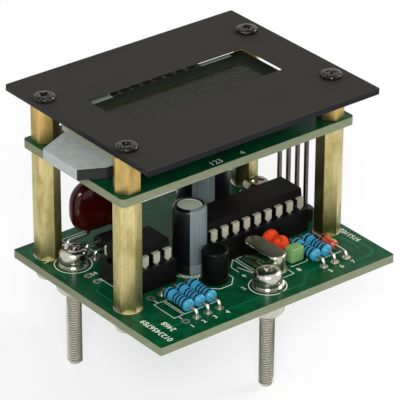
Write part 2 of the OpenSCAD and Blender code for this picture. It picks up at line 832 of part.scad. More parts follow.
// Drawn can with a rounded upper edge
module crystal_can() {
    steps = [[0, 0], [0.08, 0.35], [0.3, 0.55]];
    color("silver") on_frame() translate([CRYSTAL[0], CRYSTAL[1], crystal_z + crystal_flange]) {
        linear_extrude(crystal_h - 0.55) stadium(crystal_len, crystal_w);
        for (i = [1, 2]) translate([0, 0, crystal_h - 0.56])
            linear_extrude(steps[i - 1][1] + 0.2)
                stadium(crystal_len - 2 * steps[i][0], crystal_w - 2 * steps[i][0]);
    }
}

module crystal_base() {
    color("silver") on_frame() translate([CRYSTAL[0], CRYSTAL[1], crystal_z]) difference() {
        linear_extrude(crystal_flange)
            stadium(crystal_len + 2 * crystal_rim, crystal_w + 2 * crystal_rim);
        for (s = [-1, 1]) translate([0, s * crystal_lead_gap / 2, -1])
            cylinder(r = lead_r + 0.01, h = 3, $fn = 24);
    }
}

module crystal_leads() {
    color("silver") on_frame() for (s = [-1, 1])
        translate([CRYSTAL[0], CRYSTAL[1] + s * crystal_lead_gap / 2, 0])
            straight_lead(crystal_z + crystal_flange);
}

// ---------------------------------------------------------------- resistors and diodes

resistor_len = 6.3;
resistor_z = resistor_r + 0.1;

// Coated body with a swollen cap at each end, along X, its middle at the origin
module resistor_body() {
    half = resistor_len / 2;
    waist = resistor_r - 0.17;
    rotate([0, 90, 0]) rotate_extrude() polygon([
        [0, -half], [resistor_r * 0.45, -half], [resistor_r * 0.8, -half + 0.15],
        [resistor_r, -half + 0.55], [resistor_r, -half + 1.15], [waist, -half + 1.6],
        [waist, half - 1.6], [resistor_r, half - 1.15], [resistor_r, half - 0.55],
        [resistor_r * 0.8, half - 0.15], [resistor_r * 0.45, half], [0, half]
    ]);
}

module at_resistors() {
    for (x = RESISTOR_XS) translate([x, axial_front + axial_span / 2, resistor_z])
        rotate([0, 0, 90]) children();
}

module resistor_bodies() {
    color("steelblue") on_frame() at_resistors() resistor_body();
}

module resistor_leads() {
    color("silver") on_frame() at_resistors()
        axial_leads(resistor_len, axial_span, resistor_z);
}

glass_diode_len = 3.9;
glass_diode_z = glass_diode_r + 0.1;
rectifier_len = 5.2;
rectifier_z = rectifier_r + 0.2;

module glass_diode_body() {
    half = glass_diode_len / 2;
    r = glass_diode_r;
    color("brown") on_frame()
        translate([glass_diode_x, axial_front + axial_span / 2, glass_diode_z])
            rotate([-90, 0, 0]) rotate_extrude() polygon([
                [0, -half], [r * 0.5, -half], [r, -half + 0.5], [r, half - 0.5],
                [r * 0.5, half], [0, half]
            ]);
}

module rectifier_bodies() {
    half = rectifier_len / 2;
    r = rectifier_r;
    color("black") on_frame() for (y = RECTIFIER_YS)
        translate([rectifier_left + axial_span / 2, y, rectifier_z])
            rotate([0, 90, 0]) rotate_extrude() polygon([
                [0, -half], [r - 0.3, -half], [r, -half + 0.4], [r, half - 0.4],
                [r - 0.3, half], [0, half]
            ]);
}

module diode_leads() {
    color("silver") on_frame() {
        translate([glass_diode_x, axial_front + axial_span / 2, glass_diode_z])
            rotate([0, 0, 90]) axial_leads(glass_diode_len, axial_span, glass_diode_z);
        for (y = RECTIFIER_YS) translate([rectifier_left + axial_span / 2, y, rectifier_z])
            axial_leads(rectifier_len, axial_span, rectifier_z);
    }
}

// ---------------------------------------------------------------- solder

// Solder cone round a lead, its wide end at z = 0 and its narrow end below
module solder_cone(lead) {
    difference() {
        translate([0, 0, -0.75]) cylinder(r1 = lead + 0.12, r2 = 0.85, h = 0.75, $fn = 24);
        translate([0, 0, -2]) cylinder(r = lead + 0.01, h = 4, $fn = 24);
    }
}

module solder_joints() {
    pin_half = header_pin_w / 2;
    color("silver") on_frame() {
        for (h = LEAD_HOLES) if (h[2] < 0.5) translate([h[0], h[1], -board_t])
            solder_cone(lead_r);
        for (h = DISPLAY_HOLES) if (h[2] < 0.5) translate([h[0], h[1], display_z])
            solder_cone(lead_r);
        for (y = header_ys) {
            translate([header_x, y, -board_t]) solder_cone(pin_half * sqrt(2));
            translate([header_x, y, display_top]) mirror([0, 0, 1])
                solder_cone(pin_half * sqrt(2));
        }
    }
}

// ---------------------------------------------------------------- output

main_board();
display_board();
cover_panel();
lower_standoff(0);  // lower_standoff_front_left
lower_standoff(1);  // lower_standoff_front_right
lower_standoff(2);  // lower_standoff_back_right
lower_standoff(3);  // lower_standoff_back_left
upper_standoff(0);  // upper_standoff_front_left
upper_standoff(1);  // upper_standoff_front_right
upper_standoff(2);  // upper_standoff_back_right
upper_standoff(3);  // upper_standoff_back_left
cover_screws();
base_screws();
base_spring_washers();
base_flat_washers();
terminal_screw(0);  // terminal_screw_left
terminal_screw(1);  // terminal_screw_front
terminal_screw(2);  // terminal_screw_right
terminal_flat_washers();
terminal_spring_washers();
terminal_nuts();
light_box();
display_lower_pane();
display_upper_pane();
display_pins();
light_box_leads();
controller_chip_body();
controller_chip_legs();
controller_socket();
controller_socket_contacts();
small_chip_body();
small_chip_legs();
small_chip_socket();
small_chip_socket_contacts();
link_header_body();
link_header_pins();
tall_capacitor_can();
tall_capacitor_sleeve();
slim_capacitor_can();
slim_capacitor_sleeve();
electrolytic_bungs();
electrolytic_leads();
choke_body();
choke_leads();
film_capacitor_body();
film_capacitor_leads();
ceramic_capacitor_bodies();
ceramic_capacitor_leads();
crystal_can();
crystal_base();
crystal_leads();
box_capacitor_body();
box_capacitor_leads();
resistor_bodies();
resistor_leads();
glass_diode_body();
rectifier_bodies();
diode_leads();
solder_joints();
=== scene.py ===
import math

import bmesh
import bpy
from mathutils import Matrix, Vector


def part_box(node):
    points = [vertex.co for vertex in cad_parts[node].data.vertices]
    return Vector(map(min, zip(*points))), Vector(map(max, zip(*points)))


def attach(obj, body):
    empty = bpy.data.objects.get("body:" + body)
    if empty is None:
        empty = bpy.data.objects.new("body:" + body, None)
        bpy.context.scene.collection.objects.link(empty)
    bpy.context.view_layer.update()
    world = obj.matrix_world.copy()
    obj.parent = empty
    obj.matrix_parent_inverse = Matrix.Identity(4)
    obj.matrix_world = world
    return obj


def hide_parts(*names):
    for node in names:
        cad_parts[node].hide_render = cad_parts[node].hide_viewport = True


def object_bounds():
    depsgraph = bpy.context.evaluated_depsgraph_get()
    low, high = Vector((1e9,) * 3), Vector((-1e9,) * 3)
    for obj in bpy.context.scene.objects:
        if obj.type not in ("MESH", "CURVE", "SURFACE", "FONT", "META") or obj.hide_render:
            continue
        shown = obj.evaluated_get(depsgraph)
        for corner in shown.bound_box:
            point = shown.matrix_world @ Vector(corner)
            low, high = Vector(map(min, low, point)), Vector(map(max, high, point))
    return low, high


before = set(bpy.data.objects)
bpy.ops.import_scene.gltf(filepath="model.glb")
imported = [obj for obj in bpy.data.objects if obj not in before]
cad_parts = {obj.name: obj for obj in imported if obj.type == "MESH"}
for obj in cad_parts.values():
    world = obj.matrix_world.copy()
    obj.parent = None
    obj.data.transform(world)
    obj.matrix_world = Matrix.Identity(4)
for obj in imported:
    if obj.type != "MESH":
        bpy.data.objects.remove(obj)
cad_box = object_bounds()

# ---------------------------------------------------------------- camera, floor and light
# A small product table: white floor, two soft lamps and a pale sky, seen from the front
# left corner a little above the boards with a long lens.

MM = 0.001
FLOOR_GLOW, SKY_LIGHT = 0.62, 0.55
MIRRORED = ("Is Glossy Ray", "Is Transmission Ray")
SHINE, EVEN = "Specular IOR Level", (1, 1, 1)


def paint(red, green, blue):
    """A colour from its screen values, 0 to 255."""
    return tuple((c / 255 / 12.92) if c < 11 else ((c / 255 + 0.055) / 1.055) ** 2.4
                 for c in (red, green, blue)) + (1.0,)


def link(name, data):
    obj = bpy.data.objects.new(name, data)
    bpy.context.scene.collection.objects.link(obj)
    return obj


CAMERA_PLACE, LENS_MM = (-0.28865, -0.36691, 0.28326), 263.3
turn, tilt, roll = (math.radians(d) for d in (-38.406, 28.368, -0.253))
away = Vector((math.sin(turn) * math.cos(tilt), -math.cos(turn) * math.cos(tilt), math.sin(tilt)))
right = Vector((math.cos(turn), math.sin(turn), 0))
up = away.cross(right)
sideways = right * math.cos(roll) - up * math.sin(roll)
upright = right * math.sin(roll) + up * math.cos(roll)
camera = link("camera", bpy.data.cameras.new("camera"))
camera.matrix_world = Matrix.Translation(CAMERA_PLACE) @ Matrix(
    (sideways, upright, away)).transposed().to_4x4()
camera.data.lens = LENS_MM
camera.data.sensor_width = 36
camera.data.clip_start = 0.01
bpy.context.scene.camera = camera
bpy.context.scene.view_settings.view_transform = "Standard"


def lamp(name, place, aim, size, power):
    light = bpy.data.lights.new(name, "AREA")
    light.shape, light.size, light.energy = "DISK", size, power
    obj = link(name, light)
    obj.location = place
    obj.rotation_euler = (Vector(aim) - Vector(place)).to_track_quat("-Z", "Y").to_euler()


lamp("key_lamp", (-0.4, -0.5, 0.45), (0, 0, 0.02), 0.3, 4.4)
lamp("side_lamp", (0.55, -0.15, 0.35), (0, 0, 0.02), 0.3, 2.2)


class Signal:
    """A socket of a node that can be used in an expression."""

    def __init__(self, finish, socket):
        self.finish, self.socket = finish, socket

    def math(self, operation, a, b=0.0):
        return self.finish.add("Math", {"operation": operation}, {0: a, 1: b})

    def __add__(self, other):
        return self.math("ADD", self, other)

    def __sub__(self, other):
        return self.math("SUBTRACT", self, other)

    def __rsub__(self, other):
        return self.math("SUBTRACT", other, self)

    def __mul__(self, other):
        return self.math("MULTIPLY", self, other)

    __radd__, __rmul__ = __add__, __mul__

    def __abs__(self):
        return self.math("ABSOLUTE", self)

    def rise(self, low, high):
        """0 up to low, 1 from high on, smooth between them."""
        return self.finish.add("MapRange", {"interpolation_type": "SMOOTHSTEP"},
                               {"Value": self, "From Min": low, "From Max": high})

    def near(self, middle, half, soft):
        """1 within half of middle, fading to 0 over soft."""
        return 1 - abs(self - middle).rise(half - soft / 2, half + soft / 2)


class Finish:
    """A material, built one node at a time."""

    def __init__(self, name):
        self.material = bpy.data.materials.new(name)
        self.material.use_nodes = True
        self.tree = self.material.node_tree
        self.tree.nodes.clear()

    def add(self, kind, settings=None, sockets=None, out=0):
        node = self.tree.nodes.new("ShaderNode" + kind)
        for name, value in (settings or {}).items():
            setattr(node, name, value)
        for name, value in (sockets or {}).items():
            if isinstance(value, Signal):
                self.tree.links.new(value.socket, node.inputs[name])
            else:
                node.inputs[name].default_value = value
        return None if out is None else Signal(self, node.outputs[out])

    def split(self, vector):
        node = self.add("SeparateXYZ", {}, {"Vector": vector})
        return [Signal(self, socket) for socket in node.socket.node.outputs]

    def spot(self, centre=(0, 0, 0)):
        """The object's own x, y and z in millimetres, counted from centre."""
        where = self.add("Mapping", {}, {
            "Vector": self.add("TexCoord", out="Object"), "Scale": (1 / MM,) * 3,
            "Location": tuple(-c / MM for c in centre)})
        return self.split(where)

    def facing(self):
        """How far the surface faces along x, y and z."""
        return self.split(self.add("NewGeometry", out="Normal"))

    def noise(self, size, detail=3.0, stretch=EVEN):
        """Soft blotches about size millimetres across, longer along a stretched axis."""
        where = self.add("Mapping", {}, {
            "Vector": self.add("TexCoord", out="Object"),
            "Scale": tuple(1 / (size * MM * s) for s in stretch)})
        return self.add("TexNoise", {}, {"Vector": where, "Scale": 1.0, "Detail": detail})

    def mix(self, amount, a, b):
        return self.add("Mix", {"data_type": "RGBA"}, {0: amount, 6: a, 7: b}, out=2)

    def bump(self, height, depth):
        """A normal from a height, which at 1 stands depth millimetres proud."""
        return self.add("Bump", {}, {"Height": height, "Distance": depth * MM})

    def coat(self, base, roughness, normal=None, more={}):
        """A plain coat, with more sockets by name."""
        sockets = {"Base Color": base, "Roughness": roughness, **more}
        if normal is not None:
            sockets["Normal"] = normal
        return self.add("BsdfPrincipled", {}, sockets)

    def surface(self, shader):
        """The material, now that it has its surface."""
        self.add("OutputMaterial", {}, {"Surface": shader}, out=None)
        return self.material

    def shade(self, *coat):
        """The material with one plain coat."""
        return self.surface(self.coat(*coat))


def stored(name, mesh):
    """Mesh data made of a bmesh, which is freed."""
    data = bpy.data.meshes.new(name)
    mesh.to_mesh(data)
    mesh.free()
    return data


floor_mesh = bmesh.new()
bmesh.ops.create_circle(floor_mesh, cap_ends=True, segments=64, radius=3)
floor = link("floor", stored("floor", floor_mesh))
floor.location.z = cad_box[0].z - 0.2 * MM
finish = Finish("floor_paint")
floor_coat = finish.coat(finish.mix(
    finish.noise(40, 2), (0.9, 0.9, 0.9, 1), (0.93, 0.93, 0.93, 1)), 0.6)
seen_rays = finish.add("LightPath", out="Is Camera Ray")
for ray in MIRRORED:
    seen_rays = seen_rays + finish.add("LightPath", out=ray)
floor.data.materials.append(finish.surface(finish.add("MixShader", {}, {
    0: seen_rays * FLOOR_GLOW, 1: floor_coat,
    2: finish.add("Emission", {}, {"Color": (1, 1, 1, 1), "Strength": 1.0})})))

sky = bpy.data.worlds.new("sky")
bpy.context.scene.world = sky
sky.use_nodes = True
sky.node_tree.nodes.clear()
rays = sky.node_tree.nodes.new("ShaderNodeLightPath")
seen = rays.outputs["Is Camera Ray"]
for ray in MIRRORED:
    either = sky.node_tree.nodes.new("ShaderNodeMath")
    either.operation = "MAXIMUM"
    sky.node_tree.links.new(seen, either.inputs[0])
    sky.node_tree.links.new(rays.outputs[ray], either.inputs[1])
    seen = either.outputs[0]
level = sky.node_tree.nodes.new("ShaderNodeMapRange")
level.inputs["To Min"].default_value = SKY_LIGHT
level.inputs["To Max"].default_value = 1.0
sky.node_tree.links.new(seen, level.inputs["Value"])
backdrop = sky.node_tree.nodes.new("ShaderNodeBackground")
sky.node_tree.links.new(level.outputs[0], backdrop.inputs["Strength"])
backdrop.inputs["Color"].default_value = (1, 1, 1, 1)
sky_output = sky.node_tree.nodes.new("ShaderNodeOutputWorld")
sky.node_tree.links.new(backdrop.outputs[0], sky_output.inputs["Surface"])

# ---------------------------------------------------------------- circuit boards
# Glass-fibre laminate, routed and drilled, with copper tracks under green lacquer and pale
# fibre at the cut edges. Pads are tinned rings; outlines and plain numbers are white ink.
# The standoffs' screws hold both boards.

board_low, board_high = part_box("main_board")
display_low, display_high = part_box("display_board")
TOP, UNDER = 0.0, (board_low.z - board_high.z) / MM
SHELF_TOP = (display_high.z - board_high.z) / MM
SHELF_UNDER = (display_low.z - board_high.z) / MM
CORNERS = {"front_left": (4, 14.7), "front_right": (50.2, 14.7),
           "back_right": (50.2, 38.9), "back_left": (4, 38.9)}
TERMINALS = {"left": (5.48, 33.17, 0), "front": (28.38, 5.48, 25), "right": (48.32, 33.17, 50)}
SCREW_HOLE, TERMINAL_HOLE = 1.35, 1.5
BOARD_CORNER, SHELF_CORNER = 0.3, 0.9
SHELF_X, SHELF_W = 0.9, 52.8
PITCH = 2.54
CHIP_FRONT, CHIP_BACK = 17.69, 25.31
ROW_FRONT, ROW_BACK, AXIAL_Y = 4.6, 14.76, 9.68
AXIAL_XS = [9.05, 11.5, 14.05, 16.6, 40.8, 43.4, 46.2]
RECTIFIER_X, RECTIFIER_YS = 14.88, (32.4, 35.1)
SLIM_X, SLIM_Y, TALL_X, TALL_Y = 21.35, 19.2, 34.2, 31.6
INK = 0.024


def at(x, y, z=0.0):
    """A place from millimetres right of, behind and above the main board's front left corner."""
    return Vector((board_low.x + x * MM, board_low.y + y * MM, board_high.z + z * MM))


def standing(x, y, z=0.0, turn=0.0):
    return Matrix.Translation(at(x, y, z)) @ Matrix.Rotation(math.radians(turn), 4, "Z")


def copies(mesh, places):
    """One mesh in metres from a millimetre shape set down at each place."""
    shape = stored("shape", mesh)
    whole = bmesh.new()
    for place in places:
        start = len(whole.verts)
        whole.from_mesh(shape)
        whole.verts.ensure_lookup_table()
        bmesh.ops.transform(whole, matrix=place @ Matrix.Scale(MM, 4), verts=whole.verts[start:])
    bpy.data.meshes.remove(shape)
    return whole


def finished(name, mesh, material, stands_for=(), sharp=40):
    """The piece as an object that rides on the tester."""
    data = stored(name, mesh)
    data.shade_smooth()
    data.set_sharp_from_angle(angle=math.radians(sharp))
    data.materials.append(material)
    obj = link(name, data)
    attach(obj, "tester")
    if stands_for:
        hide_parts(*stands_for)


def dressed(material, *names):
    """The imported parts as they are, with a finish of their own."""
    for name in names:
        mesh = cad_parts[name].data
        if mesh.materials:
            mesh.materials[0] = material
        else:
            mesh.materials.append(material)


def evaluated(obj):
    """The final mesh of an object, which is removed."""
    bpy.context.view_layer.update()
    mesh = bmesh.new()
    mesh.from_mesh(obj.evaluated_get(bpy.context.evaluated_depsgraph_get()).to_mesh())
    bpy.data.objects.remove(obj)
    return mesh


def lines(name, routes, width, height, z, material):
    """Raised lines along routes of points in board millimetres, lying on level z."""
    curve = bpy.data.curves.new(name, "CURVE")
    curve.dimensions = "3D"
    curve.bevel_depth = width / 2
    curve.bevel_resolution = 1
    curve.use_fill_caps = True
    for route in routes:
        spline = curve.splines.new("POLY")
        closed = len(route) > 2 and route[0] == route[-1]
        points = route[:-1] if closed else route
        spline.points.add(len(points) - 1)
        for point, (x, y) in zip(spline.points, points):
            point.co = (x, y, 0, 1)
        spline.use_cyclic_u = closed
    mesh = evaluated(link(name, curve))
    bmesh.ops.scale(mesh, vec=(1, 1, height * 2 / width), verts=mesh.verts)
    finished(name, copies(mesh, [standing(0, 0, z)]), material)


def spoke(x, y, radius, angle):
    """The point at a distance and an angle in degrees from another."""
    return (x + radius * math.cos(math.radians(angle)), y + radius * math.sin(math.radians(angle)))


def sweep(x, y, radius, start, end, steps=6):
    return [spoke(x, y, radius, start + (end - start) * i / steps) for i in range(steps + 1)]


def arc(x, y, radius, start=0, end=360, step=10):
    points = sweep(x, y, radius, start, end, max(2, round(abs(end - start) / step)))
    return points[:-1] + points[:1] if end - start == 360 else points


def rectangle(x, y, width, depth):
    return [(x, y), (x + width, y), (x + width, y + depth), (x, y + depth), (x, y)]


def rise_of(edge):
    return abs(edge.verts[0].co.z - edge.verts[1].co.z)


def lies_flat(edge):
    return rise_of(edge) < 0.01


def bottom_of(edge):
    return min(vert.co.z for vert in edge.verts)


def rounded(shape, radius, segments, chosen):
    """The shape with its chosen edges rounded over."""
    bmesh.ops.bevel(shape, geom=[edge for edge in shape.edges if chosen(edge)], offset=radius,
                    segments=segments, profile=0.5, affect="EDGES", material=-1)
    return shape


def slab(x, y, width, depth, height, corner, segments=5):
    """A plate with rounded upright corners, its lower face on level 0."""
    plate = bmesh.new()
    bmesh.ops.create_cube(plate, size=1, matrix=Matrix.Translation(
        (x + width / 2, y + depth / 2, height / 2)) @ Matrix.Diagonal((width, depth, height, 1)))
    return rounded(plate, corner, segments, lambda edge: rise_of(edge) > height / 2)


def drill(radius, low, high, points):
    """Upright cutters between two levels."""
    tool = bmesh.new()
    for x, y in points:
        bmesh.ops.create_cone(tool, cap_ends=True, segments=24, radius1=radius,
                              radius2=radius, depth=high - low,
                              matrix=Matrix.Translation((x, y, (low + high) / 2)))
    return tool


def carved(shape, cutter):
    """The shape with the cutter taken out of it."""
    blank, tool = (link(name, stored(name, mesh))
                   for name, mesh in (("blank", shape), ("cutter", cutter)))
    cut = blank.modifiers.new("cut", "BOOLEAN")
    cut.operation, cut.solver, cut.object = "DIFFERENCE", "EXACT", tool
    result = evaluated(blank)
    bpy.data.objects.remove(tool)
    return result


def joined(*meshes):
    """Several shapes as one."""
    whole = bmesh.new()
    for mesh in meshes:
        shape = stored("shape", mesh)
        whole.from_mesh(shape)
        bpy.data.meshes.remove(shape)
    return whole


def lacquer(name, over_copper):
    """Green lacquer on both faces and sawn laminate on the edges."""
    finish = Finish(name)
    flat = abs(finish.facing()[2]).rise(0.4, 0.6)
    blotch = finish.noise(9, 3)
    pour = finish.noise(2.2, 1).rise(0.46, 0.54)
    bare = finish.mix(pour, paint(0, 62, 34), paint(2, 72, 40))
    copper = finish.mix(blotch, paint(2, 80, 44), paint(6, 88, 50))
    green = copper if over_copper else bare
    fibre = finish.noise(0.5, 4, (6, 6, 0.35))
    edge = finish.mix(fibre, paint(86, 96, 74), paint(142, 147, 119))
    grain = finish.noise(0.25, 2)
    return finish.shade(
        finish.mix(flat, edge, green), 0.62 - flat * (0.36 - grain * 0.06),
        finish.bump(grain * 0.3 + fibre * (1 - flat), 0.02),
        {SHINE: 0.08})


board_lacquer = lacquer("green_lacquer", False)
track_lacquer = lacquer("green_lacquer_over_copper", True)

board_w, board_d = ((board_high - board_low) / MM)[:2]
board_blank = carved(carved(slab(0, 0, board_w, board_d, TOP - UNDER, BOARD_CORNER, 2),
                            drill(SCREW_HOLE, -1, 3, CORNERS.values())),
                     drill(TERMINAL_HOLE, -1, 3, [spot[:2] for spot in TERMINALS.values()]))
finished("drilled_main_board", copies(board_blank, [standing(0, 0, UNDER)]), board_lacquer,
         stands_for=["main_board"], sharp=30)
shelf_front, shelf_back = ((edge.y - board_low.y) / MM for edge in (display_low, display_high))
shelf_blank = carved(slab(SHELF_X, shelf_front, SHELF_W, shelf_back - shelf_front,
                          SHELF_TOP - SHELF_UNDER, SHELF_CORNER, 4),
                     drill(SCREW_HOLE, -1, 3, CORNERS.values()))
finished("drilled_display_board", copies(shelf_blank, [standing(0, 0, SHELF_UNDER)]),
         board_lacquer, stands_for=["display_board"], sharp=30)

finish = Finish("white_ink")
ink = finish.shade(
    finish.mix(finish.noise(0.3, 4), paint(206, 214, 196), paint(240, 243, 232)), 0.55,
    finish.bump(finish.noise(0.1, 2), 0.01))


def blotched(name, size, detail, stretch, dark, light, rough, rougher, depth, more):
    """A coat whose colour, roughness and height all follow the same blotches."""
    finish = Finish(name)
    blotch = finish.noise(size, detail, stretch)
    return finish.shade(finish.mix(blotch, paint(*dark), paint(*light)),
                        rough + blotch * rougher, finish.bump(blotch, depth), more)


pad_tin = blotched("tinned_pad", 0.35, 3, EVEN, (150, 140, 116), (206, 203, 190),
                   0.28, 0.2, 0.03, {"Metallic": 0.9})


def pads(name, points, z, outer=0.85, inner=0.32):
    """Tinned rings, each a flat torus pressed on the board."""
    ring = bmesh.new()
    bmesh.ops.create_circle(ring, segments=10, radius=(outer - inner) / 2,
                            matrix=Matrix.Translation(((outer + inner) / 2, 0, 0))
                            @ Matrix.Rotation(math.pi / 2, 4, "X"))
    bmesh.ops.spin(ring, geom=ring.verts[:] + ring.edges[:], cent=(0, 0, 0), axis=(0, 0, 1),
                   angle=math.tau, steps=24, use_merge=True)
    bmesh.ops.recalc_face_normals(ring, faces=ring.faces)
    bmesh.ops.scale(ring, vec=(1, 1, 0.16), verts=ring.verts)
    finished(name, copies(ring, [standing(x, y, z) for x, y in points]),
             pad_tin, sharp=60)


pads("front_pads", [(x, y) for x in AXIAL_XS for y in (ROW_FRONT, ROW_BACK)], TOP)
pads("spare_pads", [(5.05, 28.0), (5.1, 25.4)], TOP, 0.8, 0.3)
pads("back_pads", [(x, y) for x in (9.8, 19.96) for y in RECTIFIER_YS]
     + [(8.5, 39.3), (23.5, 39.3)], TOP, 0.95)
pads("standoff_lands", CORNERS.values(), TOP, 2.7, 1.5)
pads("standoff_lands_under", CORNERS.values(), UNDER, 2.9, 1.5)

tracks = []
for i, x in enumerate([25.78 + i * PITCH for i in range(9)]):
    drop, climb = CHIP_FRONT - 1.1 - (i % 3) * 0.9, (i % 4) * 0.8
    tracks += [[(x, CHIP_FRONT), (x, drop), (x + 1.2, drop - 1.2), (x + 1.2, 9.8 + (i % 2))],
               [(x, CHIP_BACK), (x, 27.4 + climb), (x - 2, 29.4 + climb), (x - 2, 33.8)]]
for i, x in enumerate([7.6 + i * PITCH for i in range(4)]):
    tracks += [[(x, CHIP_FRONT), (x, 16.2 - i * 0.3), (x + 2.4, 13.8 - i * 0.3), (x + 2.4, 14.0)],
               [(x, CHIP_BACK), (x, 28.3 + i * 0.7), (x + 3, 31.3 + i * 0.7)]]
tracks += [[(x, ROW_FRONT), (x, 2.6 + i * 0.3), (x + 5, 2.6 + i * 0.3)]
           for i, x in enumerate(AXIAL_XS[:4])]
tracks += [[(49.7, y), (47.4, y), (46.2 - i, y + 1.2 + i * 0.6), (40, y + 1.2 + i * 0.6)]
           for i, y in enumerate((20.45, 22.99, 25.53, 28.07))]
lines("tracks_under", tracks, 0.45, 0.035, UNDER, track_lacquer)
lines("tracks_top", [
    [(5.48, 29.2), (5.48, 25), (3, 22.5), (3, 18)],
    [(9.05, 4.6), (6.5, 4.6), (2.5, 8.6), (2.5, 11.5)],
    [(28.38, 2.0), (34, 2.0), (37, 5), (40.8, 5)],
    [(43.4, 4.6), (43.4, 2.6), (50.5, 2.6), (51.8, 3.9), (51.8, 11)],
    [(24.4, 3.2), (19.4, 3.2), (16.6, 3.4), (16.6, 4.6)],
    [(46.2, 14.76), (48, 13), (50.4, 10.6), (50.4, 6)],
    [(1.4, 30), (1.4, 41), (3, 42.6), (12, 42.6)]], 0.6, 0.03, TOP, track_lacquer)

hatch = [[spoke(SLIM_X, SLIM_Y, 3.75, angle), spoke(SLIM_X, SLIM_Y, 3.15, angle + 9)]
         for angle in range(-150, -40, 12)]
legend = [arc(px, py, 3.45) for px, py, _ in TERMINALS.values()]
legend += [
    rectangle(8.1, 6.7, 2.0, 5.9), [(9.05, 6.7), (9.05, 5.6)], [(9.05, 12.6), (9.05, 13.7)],
    arc(SLIM_X, SLIM_Y, 3.8, -165, -15), arc(SLIM_X, SLIM_Y, 3.2, -165, -15),
    [(20.9, 9.7), (23.5, 9.7), (25.3, 11.5), (25.3, 14.2)],
    [(20.9, 9.7), (19.1, 11.5), (19.1, 14.2), (20.9, 16)],
    [(27.3, 14.6), (29.6, 16.9)], [(27.3, 14.6), (27.3, 12.4)], [(28.2, 13.9), (29.5, 9.3)],
    [(29.4, 8.5), (29.4, 16.4)], rectangle(30.0, 5.9, 4.9, 10.6),
    [(36.2, 8.3), (36.2, 8.0), (39.8, 8.0), (40.2, 8.6)],
    [(41.1, 6.9), (46.9, 6.9)], [(41.1, 12.5), (46.9, 12.5)],
    rectangle(10.5, 6.7, 7.3, 5.9),
    rectangle(6.2, 17.2, 10, 8.6), rectangle(24.4, 17.2, 23, 8.6),
    rectangle(11.2, 31.2, 7.4, 5.2), rectangle(9.0, 36.8, 14, 5),
    arc(TALL_X, TALL_Y, 5.2)]
lines("legend_lines", legend + hatch, 0.17, 0.02, TOP, ink)


def numerals(name, texts, z, size):
    """Plain printed numbers, each (text, x, y, turn) in board millimetres."""
    printed = []
    for text, x, y, turned_by in texts:
        digits = bpy.data.curves.new(name, "FONT")
        digits.body, digits.size, digits.extrude = text, size, INK / 2
        digits.align_x, digits.align_y = "CENTER", "CENTER"
        printed.append(copies(evaluated(link(name, digits)),
                              [standing(x, y, z + INK / 2 + 0.002, turned_by)]))
    finished(name, joined(*printed), ink)


numerals("terminal_numbers", [
    ("1", 1.9, 36.6, -90), ("2", 24.3, 7.3, 0), ("3", 52.5, 31.5, 90)], TOP, 1.5)
numerals("part_numbers", [
    (str(i + 1), x, 2.6, 0) for i, x in enumerate((9.0, 11.6, 14.1, 16.9, 40.8, 43.4, 46.2))] + [
    ("8", 36.5, 6.4, 0), ("9", 27.2, 10.6, 0), ("12", 33.4, 18.0, 0), ("24", 6.2, 28.0, 0),
    ("25", 6.2, 25.4, 0)], TOP, 1.5)
numerals("board_number", [("0123456789", 3.1, 5.2, 90), ("2468", 5.6, 5.0, 90)], TOP, 1.7)
numerals("side_number", [("9753102", 52.2, 10.5, 90)], TOP, 1.6)
numerals("display_board_number", [("123", 22.5, 13.2, 0), ("4", 28.5, 13.2, 0)], SHELF_TOP, 1.9)

# ---------------------------------------------------------------- cover panel
# The lid is a clear acrylic plate. Its top is screen-printed satin black, all but a window
# over the display, so the edges stay glassy. A black screw holds it at each corner.

PANEL_X, PANEL_Y, PANEL_Z = 1.7, 5.4, 30.6
PANEL_W, PANEL_D, PANEL_T, PANEL_CORNER = 52.05, 42.45, 1.1, 0.3
PANEL_TOP = (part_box("cover_panel")[1].z - board_high.z) / MM
WINDOW = (9.55, 22.2, 35.4, 11.35)
PRINT = 0.1
finish = Finish("black_print")
grain = finish.noise(0.16, 2)
dust = finish.noise(0.09, 1).rise(0.66, 0.74)
scuffs = finish.noise(0.5, 4, (9, 0.5, 1)).rise(0.68, 0.8)
patches = finish.noise(11, 3)
black = finish.mix(grain * 0.6 + patches * 0.4, paint(24, 23, 19), paint(41, 39, 34))
black_print = finish.shade(
    finish.mix(dust * 0.3 + scuffs * 0.12, black, paint(104, 100, 88)),
    0.6 + grain * 0.12 - scuffs * 0.05, finish.bump(grain, 0.012),
    {SHINE: 0.14})

finish = Finish("clear_acrylic")
cut_side = 1 - abs(finish.facing()[2]).rise(0.4, 0.6)
saw_marks = finish.noise(0.5, 3, (1, 1, 5))
clear_acrylic = finish.shade(
    finish.mix(saw_marks, paint(11, 10, 14), paint(20, 19, 26)), 0.3 + saw_marks * 0.1,
    finish.bump(saw_marks * cut_side, 0.01),
    {"Alpha": 0.05 + cut_side * 0.95, SHINE: 0.12})
plate = carved(slab(PANEL_X, PANEL_Y, PANEL_W, PANEL_D, PANEL_T - PRINT, PANEL_CORNER),
               drill(SCREW_HOLE, -1, 2, CORNERS.values()))
finished("cover_plate", copies(plate, [standing(0, 0, PANEL_Z)]), clear_acrylic,
         stands_for=["cover_panel"], sharp=30)
print_layer = carved(slab(PANEL_X, PANEL_Y, PANEL_W, PANEL_D, PRINT, PANEL_CORNER),
                     drill(SCREW_HOLE, -1, 2, CORNERS.values()))
print_layer = carved(print_layer, slab(*WINDOW, 3, 0.15, 2))
finished("cover_print", copies(print_layer, [standing(0, 0, PANEL_Z + PANEL_T - PRINT)]),
         black_print, stands_for=["cover_panel"], sharp=30)
